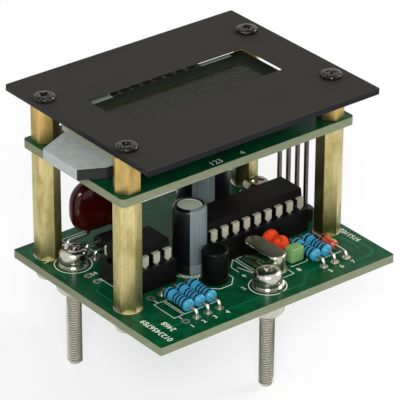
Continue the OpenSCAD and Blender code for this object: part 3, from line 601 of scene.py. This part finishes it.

# ---------------------------------------------------------------- standoffs
# Hexagonal brass pillars cut from drawn bar and chamfered at each end, with painted shade on
# their inward faces and stains near the main board. Screws through the boards and cover
# hold them.

finish = Finish("drawn_brass")
x, _, z = finish.spot(at(0, 0))
draw_lines = finish.noise(0.22, 3, (1, 1, 60))
tarnish = finish.noise(2.4, 4, (1, 1, 2.5))
spots = finish.noise(0.7, 3).rise(0.55, 0.75)
near_foot = 1 - z.rise(0.2, 8)
newer = z.rise(22.8, 23.2)
toward_right = x.rise(20, 30)
# Faces that look inward, towards the dark inside, are painted darker as shade.
inward_painted_shade = (finish.facing()[0] * (1 - toward_right * 2)).rise(0.6, 0.85) * (1 - newer * 0.5)
pale_brass = finish.mix(draw_lines, paint(176, 160, 104), paint(212, 200, 150))
red_brass = finish.mix(draw_lines, paint(176, 144, 80), paint(214, 186, 122))
clean = finish.mix(newer, pale_brass, red_brass)
aged = finish.mix(tarnish.rise(0.42, 0.68) * 0.6, clean, paint(140, 128, 66))
stained = finish.mix(near_foot * tarnish.rise(0.3, 0.6) * 0.7 + spots * 0.22, aged,
                     paint(104, 112, 52))
painted_shade_brass = finish.mix(inward_painted_shade * 0.8, stained, paint(66, 62, 38))
brass = finish.shade(painted_shade_brass, 0.3 + draw_lines * 0.16 + tarnish * 0.18,
                     finish.bump(draw_lines * 0.5 + tarnish + spots * 0.3, 0.02),
                     {"Metallic": 1.0})
ACROSS, HEX_EDGE, HEX_CHAMFER = 4.5, 0.12, 0.22
LOWER_H, UPPER_H = 22, 7


def hexagon_bar(height):
    bar = bmesh.new()
    bmesh.ops.create_cone(bar, cap_ends=True, segments=6, radius1=ACROSS / math.sqrt(3),
                          radius2=ACROSS / math.sqrt(3), depth=height)
    bmesh.ops.translate(bar, vec=(0, 0, height / 2), verts=bar.verts)
    rounded(bar, HEX_EDGE, 3, lambda edge: rise_of(edge) > height / 2)
    return rounded(bar, HEX_CHAMFER, 2, lies_flat)


LOWER_TURNS = {"front_left": 24, "front_right": 30, "back_right": 8, "back_left": 25}
UPPER_TURNS = {"front_left": 0, "front_right": 12, "back_right": 40, "back_left": 27}
for corner, (px, py) in CORNERS.items():
    for floor_name, height, level, turns in (("lower", LOWER_H, TOP, LOWER_TURNS),
                                             ("upper", UPPER_H, SHELF_TOP, UPPER_TURNS)):
        finished(f"{floor_name}_pillar_{corner}", copies(
            hexagon_bar(height), [standing(px, py, level, turns[corner] + 30)]),
            brass, stands_for=[f"{floor_name}_standoff_{corner}"], sharp=30)

# ---------------------------------------------------------------- screws, washers and nuts
# Pan head machine screws with a crossed recess. The cover screws are black zinc, the rest
# bright nickel, and above the board the right terminal is painted darker as shade. The three
# long terminal screws are threaded to the tip, and flat and spring washers and a nut clamp
# each of them.

finish = Finish("bright_nickel")
swirl = finish.noise(0.5, 4)
scratch = finish.noise(0.12, 3, (1, 1, 8))
x, y, z = finish.spot(at(0, 0))
# Around the right terminal, above the board, the nickel is painted darker as shade.
right_terminal_painted_shade = x.rise(43, 44) * y.rise(27, 28) * z.rise(-0.1, 0.1)
plated = finish.mix(swirl, paint(158, 157, 145), paint(216, 214, 202))
nickel = finish.shade(
    finish.mix(right_terminal_painted_shade * 0.75, plated, paint(90, 84, 58)),
    0.12 + swirl * 0.16, finish.bump(scratch, 0.006), {"Metallic": 1.0})

finish = Finish("black_zinc")
rub = finish.noise(0.35, 4)
black_zinc = finish.shade(
    finish.mix(rub.rise(0.5, 0.75), paint(26, 26, 26), paint(120, 116, 104)),
    0.14 + rub * 0.16, finish.bump(rub, 0.03), {"Metallic": 0.8})


def turned(profile, steps=40):
    """A closed shape turned round the Z axis from (radius, height) points."""
    shape = bmesh.new()
    points = [shape.verts.new((r, 0, z)) for r, z in profile]
    edges = [shape.edges.new(pair) for pair in zip(points, points[1:])]
    bmesh.ops.spin(shape, geom=points + edges, cent=(0, 0, 0), axis=(0, 0, 1),
                   angle=math.tau, steps=steps, use_merge=True)
    bmesh.ops.remove_doubles(shape, verts=shape.verts, dist=1e-4)
    bmesh.ops.recalc_face_normals(shape, faces=shape.faces)
    return shape


def recess_bar(radius, top, depth, turned_by, arm):
    """One arm pair of a crossed recess: a bar that narrows towards its foot."""
    tool = bmesh.new()
    bmesh.ops.create_cube(tool, size=1, matrix=Matrix.Translation((0, 0, top - depth / 2 + 0.5))
                          @ Matrix.Diagonal((radius * 2, radius * arm, depth + 1, 1)))
    bmesh.ops.scale(tool, vec=(0.55, 0.55, 1),
                    verts=[v for v in tool.verts if v.co.z < top - depth / 2])
    bmesh.ops.rotate(tool, matrix=Matrix.Rotation(turned_by, 4, "Z"), verts=tool.verts)
    return tool


def pan_head(radius, height, recess, arm=0.34, depth=0.62):
    """A domed head whose underside is level 0, with a rolled edge and its recess."""
    dome = [(radius - 0.1 * height, 0), (radius, height * 0.1), (radius, height * 0.38)]
    dome += [(radius * (1 - 0.42 * (1 - math.cos(a))), height * (0.38 + 0.6 * math.sin(a)))
             for a in (math.radians(d) for d in range(12, 91, 13))]
    head = turned([(0, 0)] + dome + [(0, height)], 48)
    head = carved(head, turned([(0, height * (1 - depth * 0.8)), (recess * 0.5, height * 0.8),
                                (recess * 0.66, height + 1), (0, height + 1)], 24))
    for turned_by in (0, math.pi / 2):
        head = carved(head, recess_bar(recess, height, height * depth, turned_by, arm))
    return head


def threaded(radius, length, pitch, core):
    """Threaded shank that hangs from level 0, with a chamfered tip."""
    rod = bmesh.new()
    section = [rod.verts.new((r, 0, z * pitch)) for r, z in
               ((core, 0), (radius, 0.36), (radius, 0.5), (core, 0.86), (core, 1))]
    edges = [rod.edges.new(pair) for pair in zip(section, section[1:])]
    turns, around = int(length / pitch) + 3, 24
    bmesh.ops.spin(rod, geom=section + edges, cent=(0, 0, 0), axis=(0, 0, 1),
                   dvec=(0, 0, pitch / around), angle=math.tau * turns, steps=around * turns)
    bmesh.ops.remove_doubles(rod, verts=rod.verts, dist=1e-3)
    bmesh.ops.translate(rod, vec=(0, 0, -length - 1.5 * pitch), verts=rod.verts)
    chamfer = radius * 0.3
    for level, side in ((-length + chamfer, -1), (0, 1)):
        bmesh.ops.bisect_plane(rod, geom=rod.verts[:] + rod.edges[:] + rod.faces[:],
                               plane_co=(0, 0, level), plane_no=(0, 0, side), clear_outer=True)
        rim_edges = [e for e in rod.edges if e.is_boundary
                     and all(abs(v.co.z - level) < 1e-4 for v in e.verts)]
        if side < 0:
            made = bmesh.ops.extrude_edge_only(rod, edges=rim_edges)["geom"]
            ring = [v for v in made if isinstance(v, bmesh.types.BMVert)]
            for vert in ring:
                flat = Vector((vert.co.x, vert.co.y, 0))
                vert.co = flat.normalized() * (radius - chamfer) + Vector((0, 0, -length))
            rim_edges = [e for e in made if isinstance(e, bmesh.types.BMEdge)]
        bmesh.ops.edgeloop_fill(rod, edges=rim_edges)
    bmesh.ops.recalc_face_normals(rod, faces=rod.faces)
    return rod


STUD_R, STUD_LEN, STUD_PITCH, STUD_CORE = 1.45, 22, 0.5, 1.15
SMALL_R, SMALL_PITCH, SMALL_CORE = 1.24, 0.45, 1.0
WASHERS = 1.3
for side, (px, py, turned_by) in TERMINALS.items():
    screw = joined(pan_head(2.65, 2.1, 1.85, 0.44, 0.75),
                   threaded(STUD_R, STUD_LEN, STUD_PITCH, STUD_CORE))
    finished("terminal_bolt_" + side, copies(screw, [standing(px, py, WASHERS, turned_by)]),
             nickel, stands_for=["terminal_screw_" + side], sharp=32)
upside_down = Matrix.Rotation(math.pi, 4, "X")
finished("cover_bolts", copies(
    joined(pan_head(2.05, 0.85, 1.35, 0.4, 0.9), threaded(SMALL_R, 4.8, SMALL_PITCH, SMALL_CORE)),
    [standing(px, py, PANEL_TOP, 20 + 31 * i) for i, (px, py) in enumerate(CORNERS.values())]),
    black_zinc, stands_for=["cover_screws"], sharp=32)
finished("base_bolts", copies(
    joined(pan_head(2.35, 1.9, 1.3), threaded(SMALL_R, 8, SMALL_PITCH, SMALL_CORE)),
    [standing(px, py, UNDER - 1.1, 15 + 40 * i) @ upside_down
     for i, (px, py) in enumerate(CORNERS.values())]),
    nickel, stands_for=["base_screws"], sharp=32)
dressed(nickel, "base_spring_washers", "base_flat_washers", "terminal_flat_washers",
        "terminal_spring_washers", "terminal_nuts")

# ---------------------------------------------------------------- display
# Two panes of glass with the liquid crystal sealed between them, over a milky light box
# whose tongue carries the lamps at the left. Film darkens the upper pane but for bare ledges
# at its back edge. Eight spring clips under a bead of black resin hold the glass.

finish = Finish("milky_light_box")
haze = finish.noise(1.4, 3)
facing_y = finish.facing()[1]
# Faces that look towards the front are painted near black as shade under the panel.
front_painted_shade = 1 - facing_y.rise(-0.6, -0.4)
front_mottle = finish.noise(0.6, 4, (2, 1, 0.6))
milk = finish.mix(haze, paint(140, 148, 146), paint(176, 184, 180))
front_shade_colour = finish.mix(front_mottle, paint(10, 10, 11), paint(34, 35, 36))
milk_box = finish.shade(
    finish.mix(front_painted_shade, milk, front_shade_colour), 0.4 + haze * 0.12,
    finish.bump(finish.noise(0.2, 2) * 0.2 + front_mottle * front_painted_shade, 0.05),
    {SHINE: 0.25})
dressed(milk_box, "light_box")

finish = Finish("lower_pane_glass")
flat_side = abs(finish.facing()[2]).rise(0.4, 0.6)
ground = finish.noise(0.3, 3, (3, 3, 0.5))
ground_edge = finish.mix(ground, paint(142, 142, 124), paint(176, 176, 158))
lower_glass = finish.shade(
    finish.mix(flat_side, ground_edge, paint(90, 104, 92)), 0.4 - flat_side * 0.25,
    finish.bump(ground, 0.02), {SHINE: 0.2})
dressed(lower_glass, "display_lower_pane")

GLASS_LEFT, GLASS_FRONT, GLASS_RIGHT, GLASS_BACK = 3.8, 17.2, 46.5, 36.0
PANE_Z, PANE_T = 28.85, 1.15
LEDGE_Y, LEDGE_END = 34.6, 16.0
finish = Finish("polarised_glass")
x, y, _ = finish.spot(at(0, 0))
top_side = finish.facing()[2].rise(0.4, 0.6)
cells = finish.noise(0.8, 2)
behind = y.rise(LEDGE_Y - 0.1, LEDGE_Y + 0.1)
left_ledge = behind * (1 - x.rise(LEDGE_END - 0.1, LEDGE_END + 0.1))
right_ledge = y.rise(34.8, 34.95) * (1 - y.rise(35.6, 35.7)) * x.near(39.8, 3.6, 0.2)
cell_rows = x.near(26.5, 15.4, 0.15) * y.near(27, 4.8, 0.15)
resin = behind * x.near(26.2, 10.1, 0.2)
smear = finish.noise(3, 4, (2, 0.6, 1))
# The bare ledges are pale glass, lightened further as painted light where the print shades them.
ledge_tone_and_painted_light = finish.mix(cells, paint(142, 170, 146), paint(182, 204, 182))
dark_film = finish.mix(smear * 0.5, paint(30, 36, 26), paint(42, 50, 36))
field = finish.mix(cell_rows, dark_film, paint(30, 33, 14))
lit = finish.mix(right_ledge, finish.mix(left_ledge, field, ledge_tone_and_painted_light), ledge_tone_and_painted_light)
face = finish.mix(resin, lit, finish.mix(cells, paint(12, 12, 11), paint(34, 35, 31)))
edge_glass = finish.mix(cells, paint(122, 130, 118), paint(168, 172, 156))
upper_glass = finish.shade(
    finish.mix(top_side, edge_glass, face), 0.14 + smear * 0.1 + resin * 0.3,
    finish.bump(smear * 0.1 + resin * cells, 0.02), {SHINE: 0.06})
pane = rounded(slab(GLASS_LEFT, GLASS_FRONT, GLASS_RIGHT - GLASS_LEFT, GLASS_BACK - GLASS_FRONT,
                    PANE_T, 0.12, 1), 0.06, 1, lies_flat)
pane = joined(pane, slab(GLASS_LEFT, GLASS_BACK - 0.1, LEDGE_END - GLASS_LEFT, 0.5, PANE_T,
                         0.05, 1))
finished("polarised_pane", copies(pane, [standing(0, 0, PANE_Z)]), upper_glass,
         stands_for=["display_upper_pane"], sharp=20)

finish = Finish("tinned_wire")
dull = finish.noise(0.4, 4)
wire = finish.shade(
    finish.mix(dull, paint(176, 172, 160), paint(228, 226, 216)), 0.2 + dull * 0.2,
    finish.bump(finish.noise(0.08, 2), 0.006), {"Metallic": 1.0})
dressed(wire, "light_box_leads")


def strip(route, width, thickness):
    """A flat strip of sheet metal along (y, z) points, width across X, centred on x = 0."""
    band = bmesh.new()
    points = [band.verts.new((-width / 2, y, z)) for y, z in route]
    edges = [band.edges.new(pair) for pair in zip(points, points[1:])]
    made = bmesh.ops.extrude_edge_only(band, edges=edges)["geom"]
    bmesh.ops.translate(band, vec=(width, 0, 0),
                        verts=[v for v in made if isinstance(v, bmesh.types.BMVert)])
    bmesh.ops.recalc_face_normals(band, faces=band.faces)
    bmesh.ops.solidify(band, geom=band.faces[:], thickness=thickness)
    bmesh.ops.recalc_face_normals(band, faces=band.faces)
    return band


PIN_XS = [17.7 + i * PITCH for i in range(8)]
resin_black = blotched("pin_resin", 0.5, 4, EVEN, (8, 8, 8), (34, 34, 30),
                       0.3, 0.2, 0.12, {SHINE: 0.3})
bead_of_resin = rounded(slab(16.2, LEDGE_Y, 20.1, 1.8, 1.2, 0.4, 3), 0.25, 2,
                        lambda edge: bottom_of(edge) > 1.15)
finished("pin_resin_bead", copies(bead_of_resin, [standing(0, 0, 29.05)]), resin_black)
finish = Finish("clip_pin_tin_and_glints")
# Dark tin with pale blotches painted on as glints.
painted_glints = finish.noise(0.3, 3)
clip_tin_and_glints = finish.shade(
    finish.mix(painted_glints.rise(0.4, 0.62), paint(70, 72, 60), paint(246, 250, 226)), 0.3,
    finish.bump(painted_glints, 0.02), {SHINE: 0.5})
clip = strip([(0, SHELF_TOP - 0.2), (0, 24.4), (2.05, 26), (2.05, 30.15), (1.95, 30.38),
              (1.7, 30.44), (1.2, 30.38), (0.8, 30.18), (0.3, 30.28)], 0.7, 0.2)
finished("clip_pins", copies(clip, [standing(px, LEDGE_Y) for px in PIN_XS]), clip_tin_and_glints,
         stands_for=["display_pins"], sharp=35)

# ---------------------------------------------------------------- chips and their sockets
# Each chip is a moulded black epoxy body on two rows of tinned legs. It is pushed into a
# glossier moulded socket, from which it pulls straight up.

finish = Finish("chip_epoxy")
matt = finish.noise(0.12, 2)
cloud = finish.noise(4, 3)
epoxy = finish.shade(
    finish.mix(cloud, paint(4, 3, 3), paint(14, 12, 11)), 0.5 + matt * 0.15,
    finish.bump(matt, 0.015), {SHINE: 0.09})
dressed(epoxy, "controller_chip_body", "small_chip_body")

finish = Finish("socket_plastic")
flow = finish.noise(1.5, 3, (4, 1, 1))
socket_plastic = finish.shade(
    finish.mix(flow, paint(5, 5, 6), paint(14, 14, 14)), 0.3 + flow * 0.15,
    finish.bump(finish.noise(0.15, 2), 0.008), {SHINE: 0.2})
dressed(socket_plastic, "controller_socket", "small_chip_socket", "link_header_body")

leg_tin = blotched("chip_leg_tin", 0.3, 4, EVEN, (170, 168, 146), (226, 226, 206),
                   0.26, 0.2, 0.02, {"Metallic": 0.45})
dressed(leg_tin, "controller_chip_legs", "small_chip_legs", "controller_socket_contacts",
        "small_chip_socket_contacts")
dressed(blotched("dull_pin_plating", 0.3, 3, (1, 1, 6), (62, 58, 62), (120, 114, 110),
                 0.2, 0.2, 0.006, {"Metallic": 1.0}), "link_header_pins")

# ---------------------------------------------------------------- electrolytic capacitors
# Drawn aluminium cans in a shrunk black sleeve that carries a pale stripe with a minus
# mark on the negative side. The top stays bare round its pressed vent, and a rubber bung
# with two leads closes the foot.

aluminium = blotched("drawn_aluminium", 0.25, 3, (1, 1, 10), (204, 210, 186), (240, 244, 224),
                     0.3, 0.2, 0.008, {"Metallic": 0.55})


def sleeve_film(name, px, py, radius, height, stripe_angle, stripe_half):
    """Black film with a pale stripe at an angle, and the minus mark low on the stripe."""
    finish = Finish(name)
    x, y, z = finish.spot(at(px, py))
    swing = finish.add("Math", {"operation": "ARCTAN2"}, {0: y, 1: x})
    around = swing * (180 / math.pi) - stripe_angle
    stripe = around.near(0, stripe_half, 1.5)
    streak = finish.noise(0.7, 3, (1, 1, 14))
    film_black = finish.mix(streak, paint(5, 6, 8), paint(14, 15, 18))
    film_grey = finish.mix(streak, paint(84, 100, 102), paint(126, 138, 140))
    width = around * (radius * math.pi / 180)
    mark_level = height * 0.3
    outer = width.near(0, 0.62, 0.08) * z.near(mark_level, 1.9, 0.1)
    inner = width.near(0, 0.46, 0.08) * z.near(mark_level, 1.7, 0.1)
    core = width.near(0, 0.2, 0.08) * z.near(mark_level, 1.2, 0.1)
    mark = outer - inner + core
    colour = finish.mix(stripe, film_black, finish.mix(mark * 0.8, film_grey, paint(44, 46, 50)))
    return finish.shade(colour, 0.24 + streak * 0.12, finish.bump(streak, 0.02),
                        {SHINE: 0.22})


SEAT = 0.15
for side, px, py, r, high, stripe in (("slim", SLIM_X, SLIM_Y, 3.15, 12.8, (-86, 41)),
                                      ("tall", TALL_X, TALL_Y, 5, 16, (-127.5, 24.5))):
    can = turned([(0, 1.4), (r - 0.55, 1.4), (r - 0.55, 0.25), (r - 0.3, 0.03), (r - 0.14, 0.15),
                  (r - 0.14, 1.3), (r - 0.42, 1.7), (r - 0.42, 1.9), (r - 0.14, 2.3)]
                 + sweep(r - 0.74, high - 0.6, 0.6, 0, 90)
                 + [(r - 0.95, high), (r - 1.1, high - 0.12), (0, high - 0.12)], 64)
    for turned_by in (20, 110):
        can = carved(can, recess_bar(r * 0.62, high - 0.12, 0.12, math.radians(turned_by), 0.07))
    finished(side + "_can", copies(can, [standing(px, py, SEAT)]), aluminium,
             stands_for=[side + "_capacitor_can"], sharp=35)
    skirt = ([(r - 0.12, 0.05), (r, 0.05), (r, 1.2), (r - 0.2, 1.65), (r - 0.2, 1.95), (r, 2.4)]
             + sweep(r - 0.74, high - 0.6, 0.74, 0, 90)
             + [(r - 0.92, high + 0.14), (r - 0.92, high + 0.02)]
             + sweep(r - 0.74, high - 0.6, 0.62, 90, 0)
             + [(r - 0.12, 2.4), (r - 0.32, 1.95), (r - 0.32, 1.65), (r - 0.12, 1.2),
                (r - 0.12, 0.05)])
    finished(side + "_sleeve", copies(turned(skirt, 64), [standing(px, py, SEAT)]),
             sleeve_film(side + "_sleeve_film", px, py, r, high, *stripe),
             stands_for=[side + "_capacitor_sleeve"], sharp=35)

finish = Finish("bung_rubber")
rubber = finish.shade(
    finish.mix(finish.noise(0.3, 3), paint(30, 30, 30), paint(48, 47, 45)), 0.7,
    finish.bump(finish.noise(0.1, 2), 0.01))
dressed(rubber, "electrolytic_bungs")

# ---------------------------------------------------------------- leads and solder
# The parts stand on tinned copper leads that go through the main board. A fillet of bright
# solder holds each lead, pin and contact under its board.

dressed(wire, "electrolytic_leads", "choke_leads", "film_capacitor_leads",
        "ceramic_capacitor_leads", "crystal_leads", "box_capacitor_leads", "resistor_leads",
        "diode_leads")
dressed(blotched("solder", 0.5, 3, EVEN, (176, 176, 172), (222, 222, 218),
                 0.18, 0.2, 0.03, {"Metallic": 1.0}), "solder_joints")

# ---------------------------------------------------------------- choke
# A drum core wound with wire under a shrunk black sleeve, which is open over the core's
# top. It stands on two leads between the small chip and the crystal.

choke = blotched("choke_sleeve", 0.6, 3, (1, 1, 0.5), (2, 3, 2), (9, 11, 9),
                 0.3, 0.15, 0.06, {SHINE: 0.12})
CHOKE_R, CHOKE_H = 2.5, 6.4
sleeve = turned([(0, 0.02), (CHOKE_R - 0.25, 0.02)] + sweep(CHOKE_R - 0.25, 0.27, 0.25, -90, 0)
                + [(CHOKE_R - 0.05, 2.2), (CHOKE_R, 3.4)]
                + sweep(CHOKE_R - 0.4, CHOKE_H - 0.4, 0.4, 0, 90)
                + [(CHOKE_R - 0.75, CHOKE_H - 0.02)]
                + sweep(CHOKE_R - 0.9, CHOKE_H - 0.15, 0.14, 60, -20)
                + [(CHOKE_R - 0.78, CHOKE_H - 0.34), (0, CHOKE_H - 0.3)], 48)
finished("wound_choke", copies(sleeve, [standing(22.2, 12.9)]), choke,
         stands_for=["choke_body"])

# ---------------------------------------------------------------- film capacitor
# Wound film dipped in thick glossy epoxy, so that its corners are round and a neck runs
# down each lead.

finish = Finish("maroon_dip")
depth_tone = finish.noise(3, 3)
maroon = finish.shade(
    finish.mix(depth_tone, paint(34, 3, 1), paint(66, 13, 8)), 0.1 + depth_tone * 0.06,
    finish.bump(finish.noise(1.2, 2), 0.05), {SHINE: 0.3})


def dipped(width, depth, height, square, lead_gap, neck_r, neck):
    """A dipped body on level 0, round all over, drawn down into a neck at each lead."""
    body = bmesh.new()
    bmesh.ops.create_uvsphere(body, u_segments=48, v_segments=32, radius=1)
    for vert in body.verts:
        x, y, z = vert.co
        x, z = (math.copysign(abs(c) ** square, c) for c in (x, z))
        y = math.copysign(abs(y) ** 0.85, y)
        vert.co = (x * width / 2, y * depth / 2, z * height / 2 + height / 2)
    for side in (-1, 1):
        bmesh.ops.create_cone(body, cap_ends=True, segments=20, radius1=neck_r, radius2=neck_r * 2,
                              depth=neck, matrix=Matrix.Translation(
                                  (side * lead_gap / 2, 0, neck * 0.5 - neck * 0.3)))
    bmesh.ops.recalc_face_normals(body, faces=body.faces)
    return body


finished("dipped_film_capacitor", copies(dipped(13, 4.6, 10.6, 0.72, 5.6, 0.45, 1.4),
                                         [standing(16, 39.3, 1.6)]),
         maroon, stands_for=["film_capacitor_body"], sharp=80)

# ---------------------------------------------------------------- ceramic capacitors
# Two small discs dipped in orange lacquer, one behind the other. The lacquer is lighter
# towards their tops and draws down over both leads.

finish = Finish("orange_dip")
mottle = finish.noise(1.1, 3)
# The orange is lighter towards the discs' tops.
higher_up = finish.spot(at(0, 0))[2].rise(1.0, 3.4)
orange = finish.shade(
    finish.mix(mottle.rise(0.3, 0.65) * 0.7 + higher_up * 0.3, paint(122, 20, 10),
               paint(214, 66, 26)),
    0.4 + mottle * 0.14, finish.bump(mottle, 0.06), {SHINE: 0.08})
finished("dipped_ceramic_discs", copies(dipped(3.7, 2.1, 4.3, 0.9, 2.54, 0.4, 1.3),
                                        [standing(36.5, py, 0.25) for py in (11.9, 14.75)]),
         orange, stands_for=["ceramic_capacitor_bodies"], sharp=80)

# ---------------------------------------------------------------- crystal
# A drawn nickel-plated can, pressed on a flanged base and polished; its top is rougher and
# painted darker as shade.
# It stands on two leads behind the front terminal.

finish = Finish("crystal_nickel")
polish = finish.noise(0.4, 3, (1, 1, 3))
# Faces that look up are painted darker as shade from the panel above.
top_painted_shade = finish.facing()[2].rise(0.55, 0.9)
bright = finish.mix(polish, paint(160, 164, 140), paint(204, 206, 182))
top_shade_colour = finish.mix(polish, paint(116, 112, 96), paint(146, 142, 122))
crystal_metal = finish.shade(
    finish.mix(top_painted_shade, bright, top_shade_colour),
    0.12 + top_painted_shade * 0.26 + polish * 0.05, None, {"Metallic": 1.0})
CAN_L, CAN_W, CAN_H, RIM, FLANGE = 9.8, 3.8, 3.2, 0.35, 0.4
CRYSTAL_X, CRYSTAL_Y, CRYSTAL_Z = 32.4, 11.2, 0.6
can = rounded(slab(-CAN_W / 2, -CAN_L / 2, CAN_W, CAN_L, CAN_H, CAN_W / 2 - 0.02, 16), 0.45, 5,
              lambda edge: bottom_of(edge) > CAN_H - 0.01)
flange = rounded(slab(-CAN_W / 2 - RIM, -CAN_L / 2 - RIM, CAN_W + 2 * RIM, CAN_L + 2 * RIM,
                      FLANGE, CAN_W / 2 + RIM - 0.02, 16), 0.12, 2, lies_flat)
finished("crystal_case", copies(can, [standing(CRYSTAL_X, CRYSTAL_Y, CRYSTAL_Z + FLANGE)]),
         crystal_metal, stands_for=["crystal_can"])
finished("crystal_flange", copies(flange, [standing(CRYSTAL_X, CRYSTAL_Y, CRYSTAL_Z)]),
         crystal_metal, stands_for=["crystal_base"])

# ---------------------------------------------------------------- box capacitor
# A little block of pale green plastic, moulded round a stacked film with rounded edges.
# It stands on two leads in front of the orange discs.

box_green = blotched("pale_green_moulding", 0.3, 3, EVEN, (92, 134, 78), (124, 164, 104),
                     0.45, 0.1, 0.02, {SHINE: 0.25})
block = rounded(slab(-1.5, -1.1, 3, 2.2, 2.9, 0.35, 4), 0.3, 4, lies_flat)
finished("green_block", copies(block, [standing(38, 9.6, 0.1)]), box_green,
         stands_for=["box_capacitor_body"])

# ---------------------------------------------------------------- resistors
# Metal film on a ceramic rod with a pressed cap at each end, in blue lacquer with the
# value painted on as dark rings. Each hangs between its two bent leads.

finish = Finish("blue_lacquer")
y = finish.spot(at(0, AXIAL_Y))[1]
gloss = finish.noise(0.5, 3)
rings = 0
for middle, half in ((-2.3, 0.22), (-1.15, 0.2), (-0.35, 0.2), (0.45, 0.2), (2.1, 0.24)):
    rings = y.near(middle, half, 0.08) + rings
blue = finish.mix(gloss, paint(32, 124, 162), paint(62, 156, 184))
lacquered = finish.shade(
    finish.mix(rings, blue, paint(18, 24, 58)), 0.2 + gloss * 0.1,
    finish.bump(gloss + rings * 0.6, 0.02), {SHINE: 0.4})


def lying_rod(side, axis):
    """A rod turned from half its profile, both ends alike, then tipped round an axis."""
    rod = turned(side + [(r, -z) for r, z in reversed(side)], 32)
    bmesh.ops.rotate(rod, matrix=Matrix.Rotation(math.pi / 2, 4, axis), verts=rod.verts)
    return rod


ROD_R, ROD_HALF = 1.2, 3.15
side = ([(0, ROD_HALF), (ROD_R * 0.5, ROD_HALF)]
        + sweep(ROD_R * 0.55, ROD_HALF - 0.5, ROD_R * 0.45, 80, 0, 5)
        + [(ROD_R, ROD_HALF - 1.1), (ROD_R - 0.06, ROD_HALF - 1.35),
           (ROD_R - 0.15, ROD_HALF - 1.6)])
finished("lacquered_resistors", copies(lying_rod(side, "X"), [
    standing(px, AXIAL_Y, 1.3) for px in AXIAL_XS[1:6]]),
    lacquered, stands_for=["resistor_bodies"])

# ---------------------------------------------------------------- diodes
# One glass bead diode with a dark cathode ring stands beside the resistors. Two moulded
# rectifiers with a pale ring lie behind the small chip. All hang on their leads.

finish = Finish("red_glass")
y = finish.spot(at(0, AXIAL_Y))[1]
flaw = finish.noise(0.6, 3)
ring = y.near(1.1, 0.3, 0.1)
red_glass = finish.mix(flaw, paint(150, 48, 28), paint(196, 88, 56))
bead = finish.shade(finish.mix(ring, red_glass, paint(24, 18, 18)),
                    0.1 + flaw * 0.05, None, {"Coat Weight": 0.7})
side = [(0, 1.95), (0.4, 1.95)] + sweep(0.5, 1.5, 0.45, 80, 0, 5)
finished("glass_bead", copies(lying_rod(side, "X"), [standing(AXIAL_XS[6], AXIAL_Y, 1.05)]),
         bead, stands_for=["glass_diode_body"])

finish = Finish("rectifier_epoxy")
x = finish.spot(at(RECTIFIER_X, 0))[0]
mould = finish.noise(0.15, 3)
band = x.near(1.7, 0.45, 0.06)
moulding = finish.mix(mould, paint(8, 8, 8), paint(20, 20, 19))
rectifier = finish.shade(
    finish.mix(band, moulding, paint(186, 186, 182)), 0.42 + mould * 0.1,
    finish.bump(mould, 0.02), {SHINE: 0.2})
side = [(0, 2.6), (0.85, 2.6)] + sweep(0.9, 2.3, 0.3, 80, 0, 4)
finished("moulded_rectifiers", copies(lying_rod(side, "Y"), [
    standing(RECTIFIER_X, py, 1.4) for py in RECTIFIER_YS]),
    rectifier, stands_for=["rectifier_bodies"])
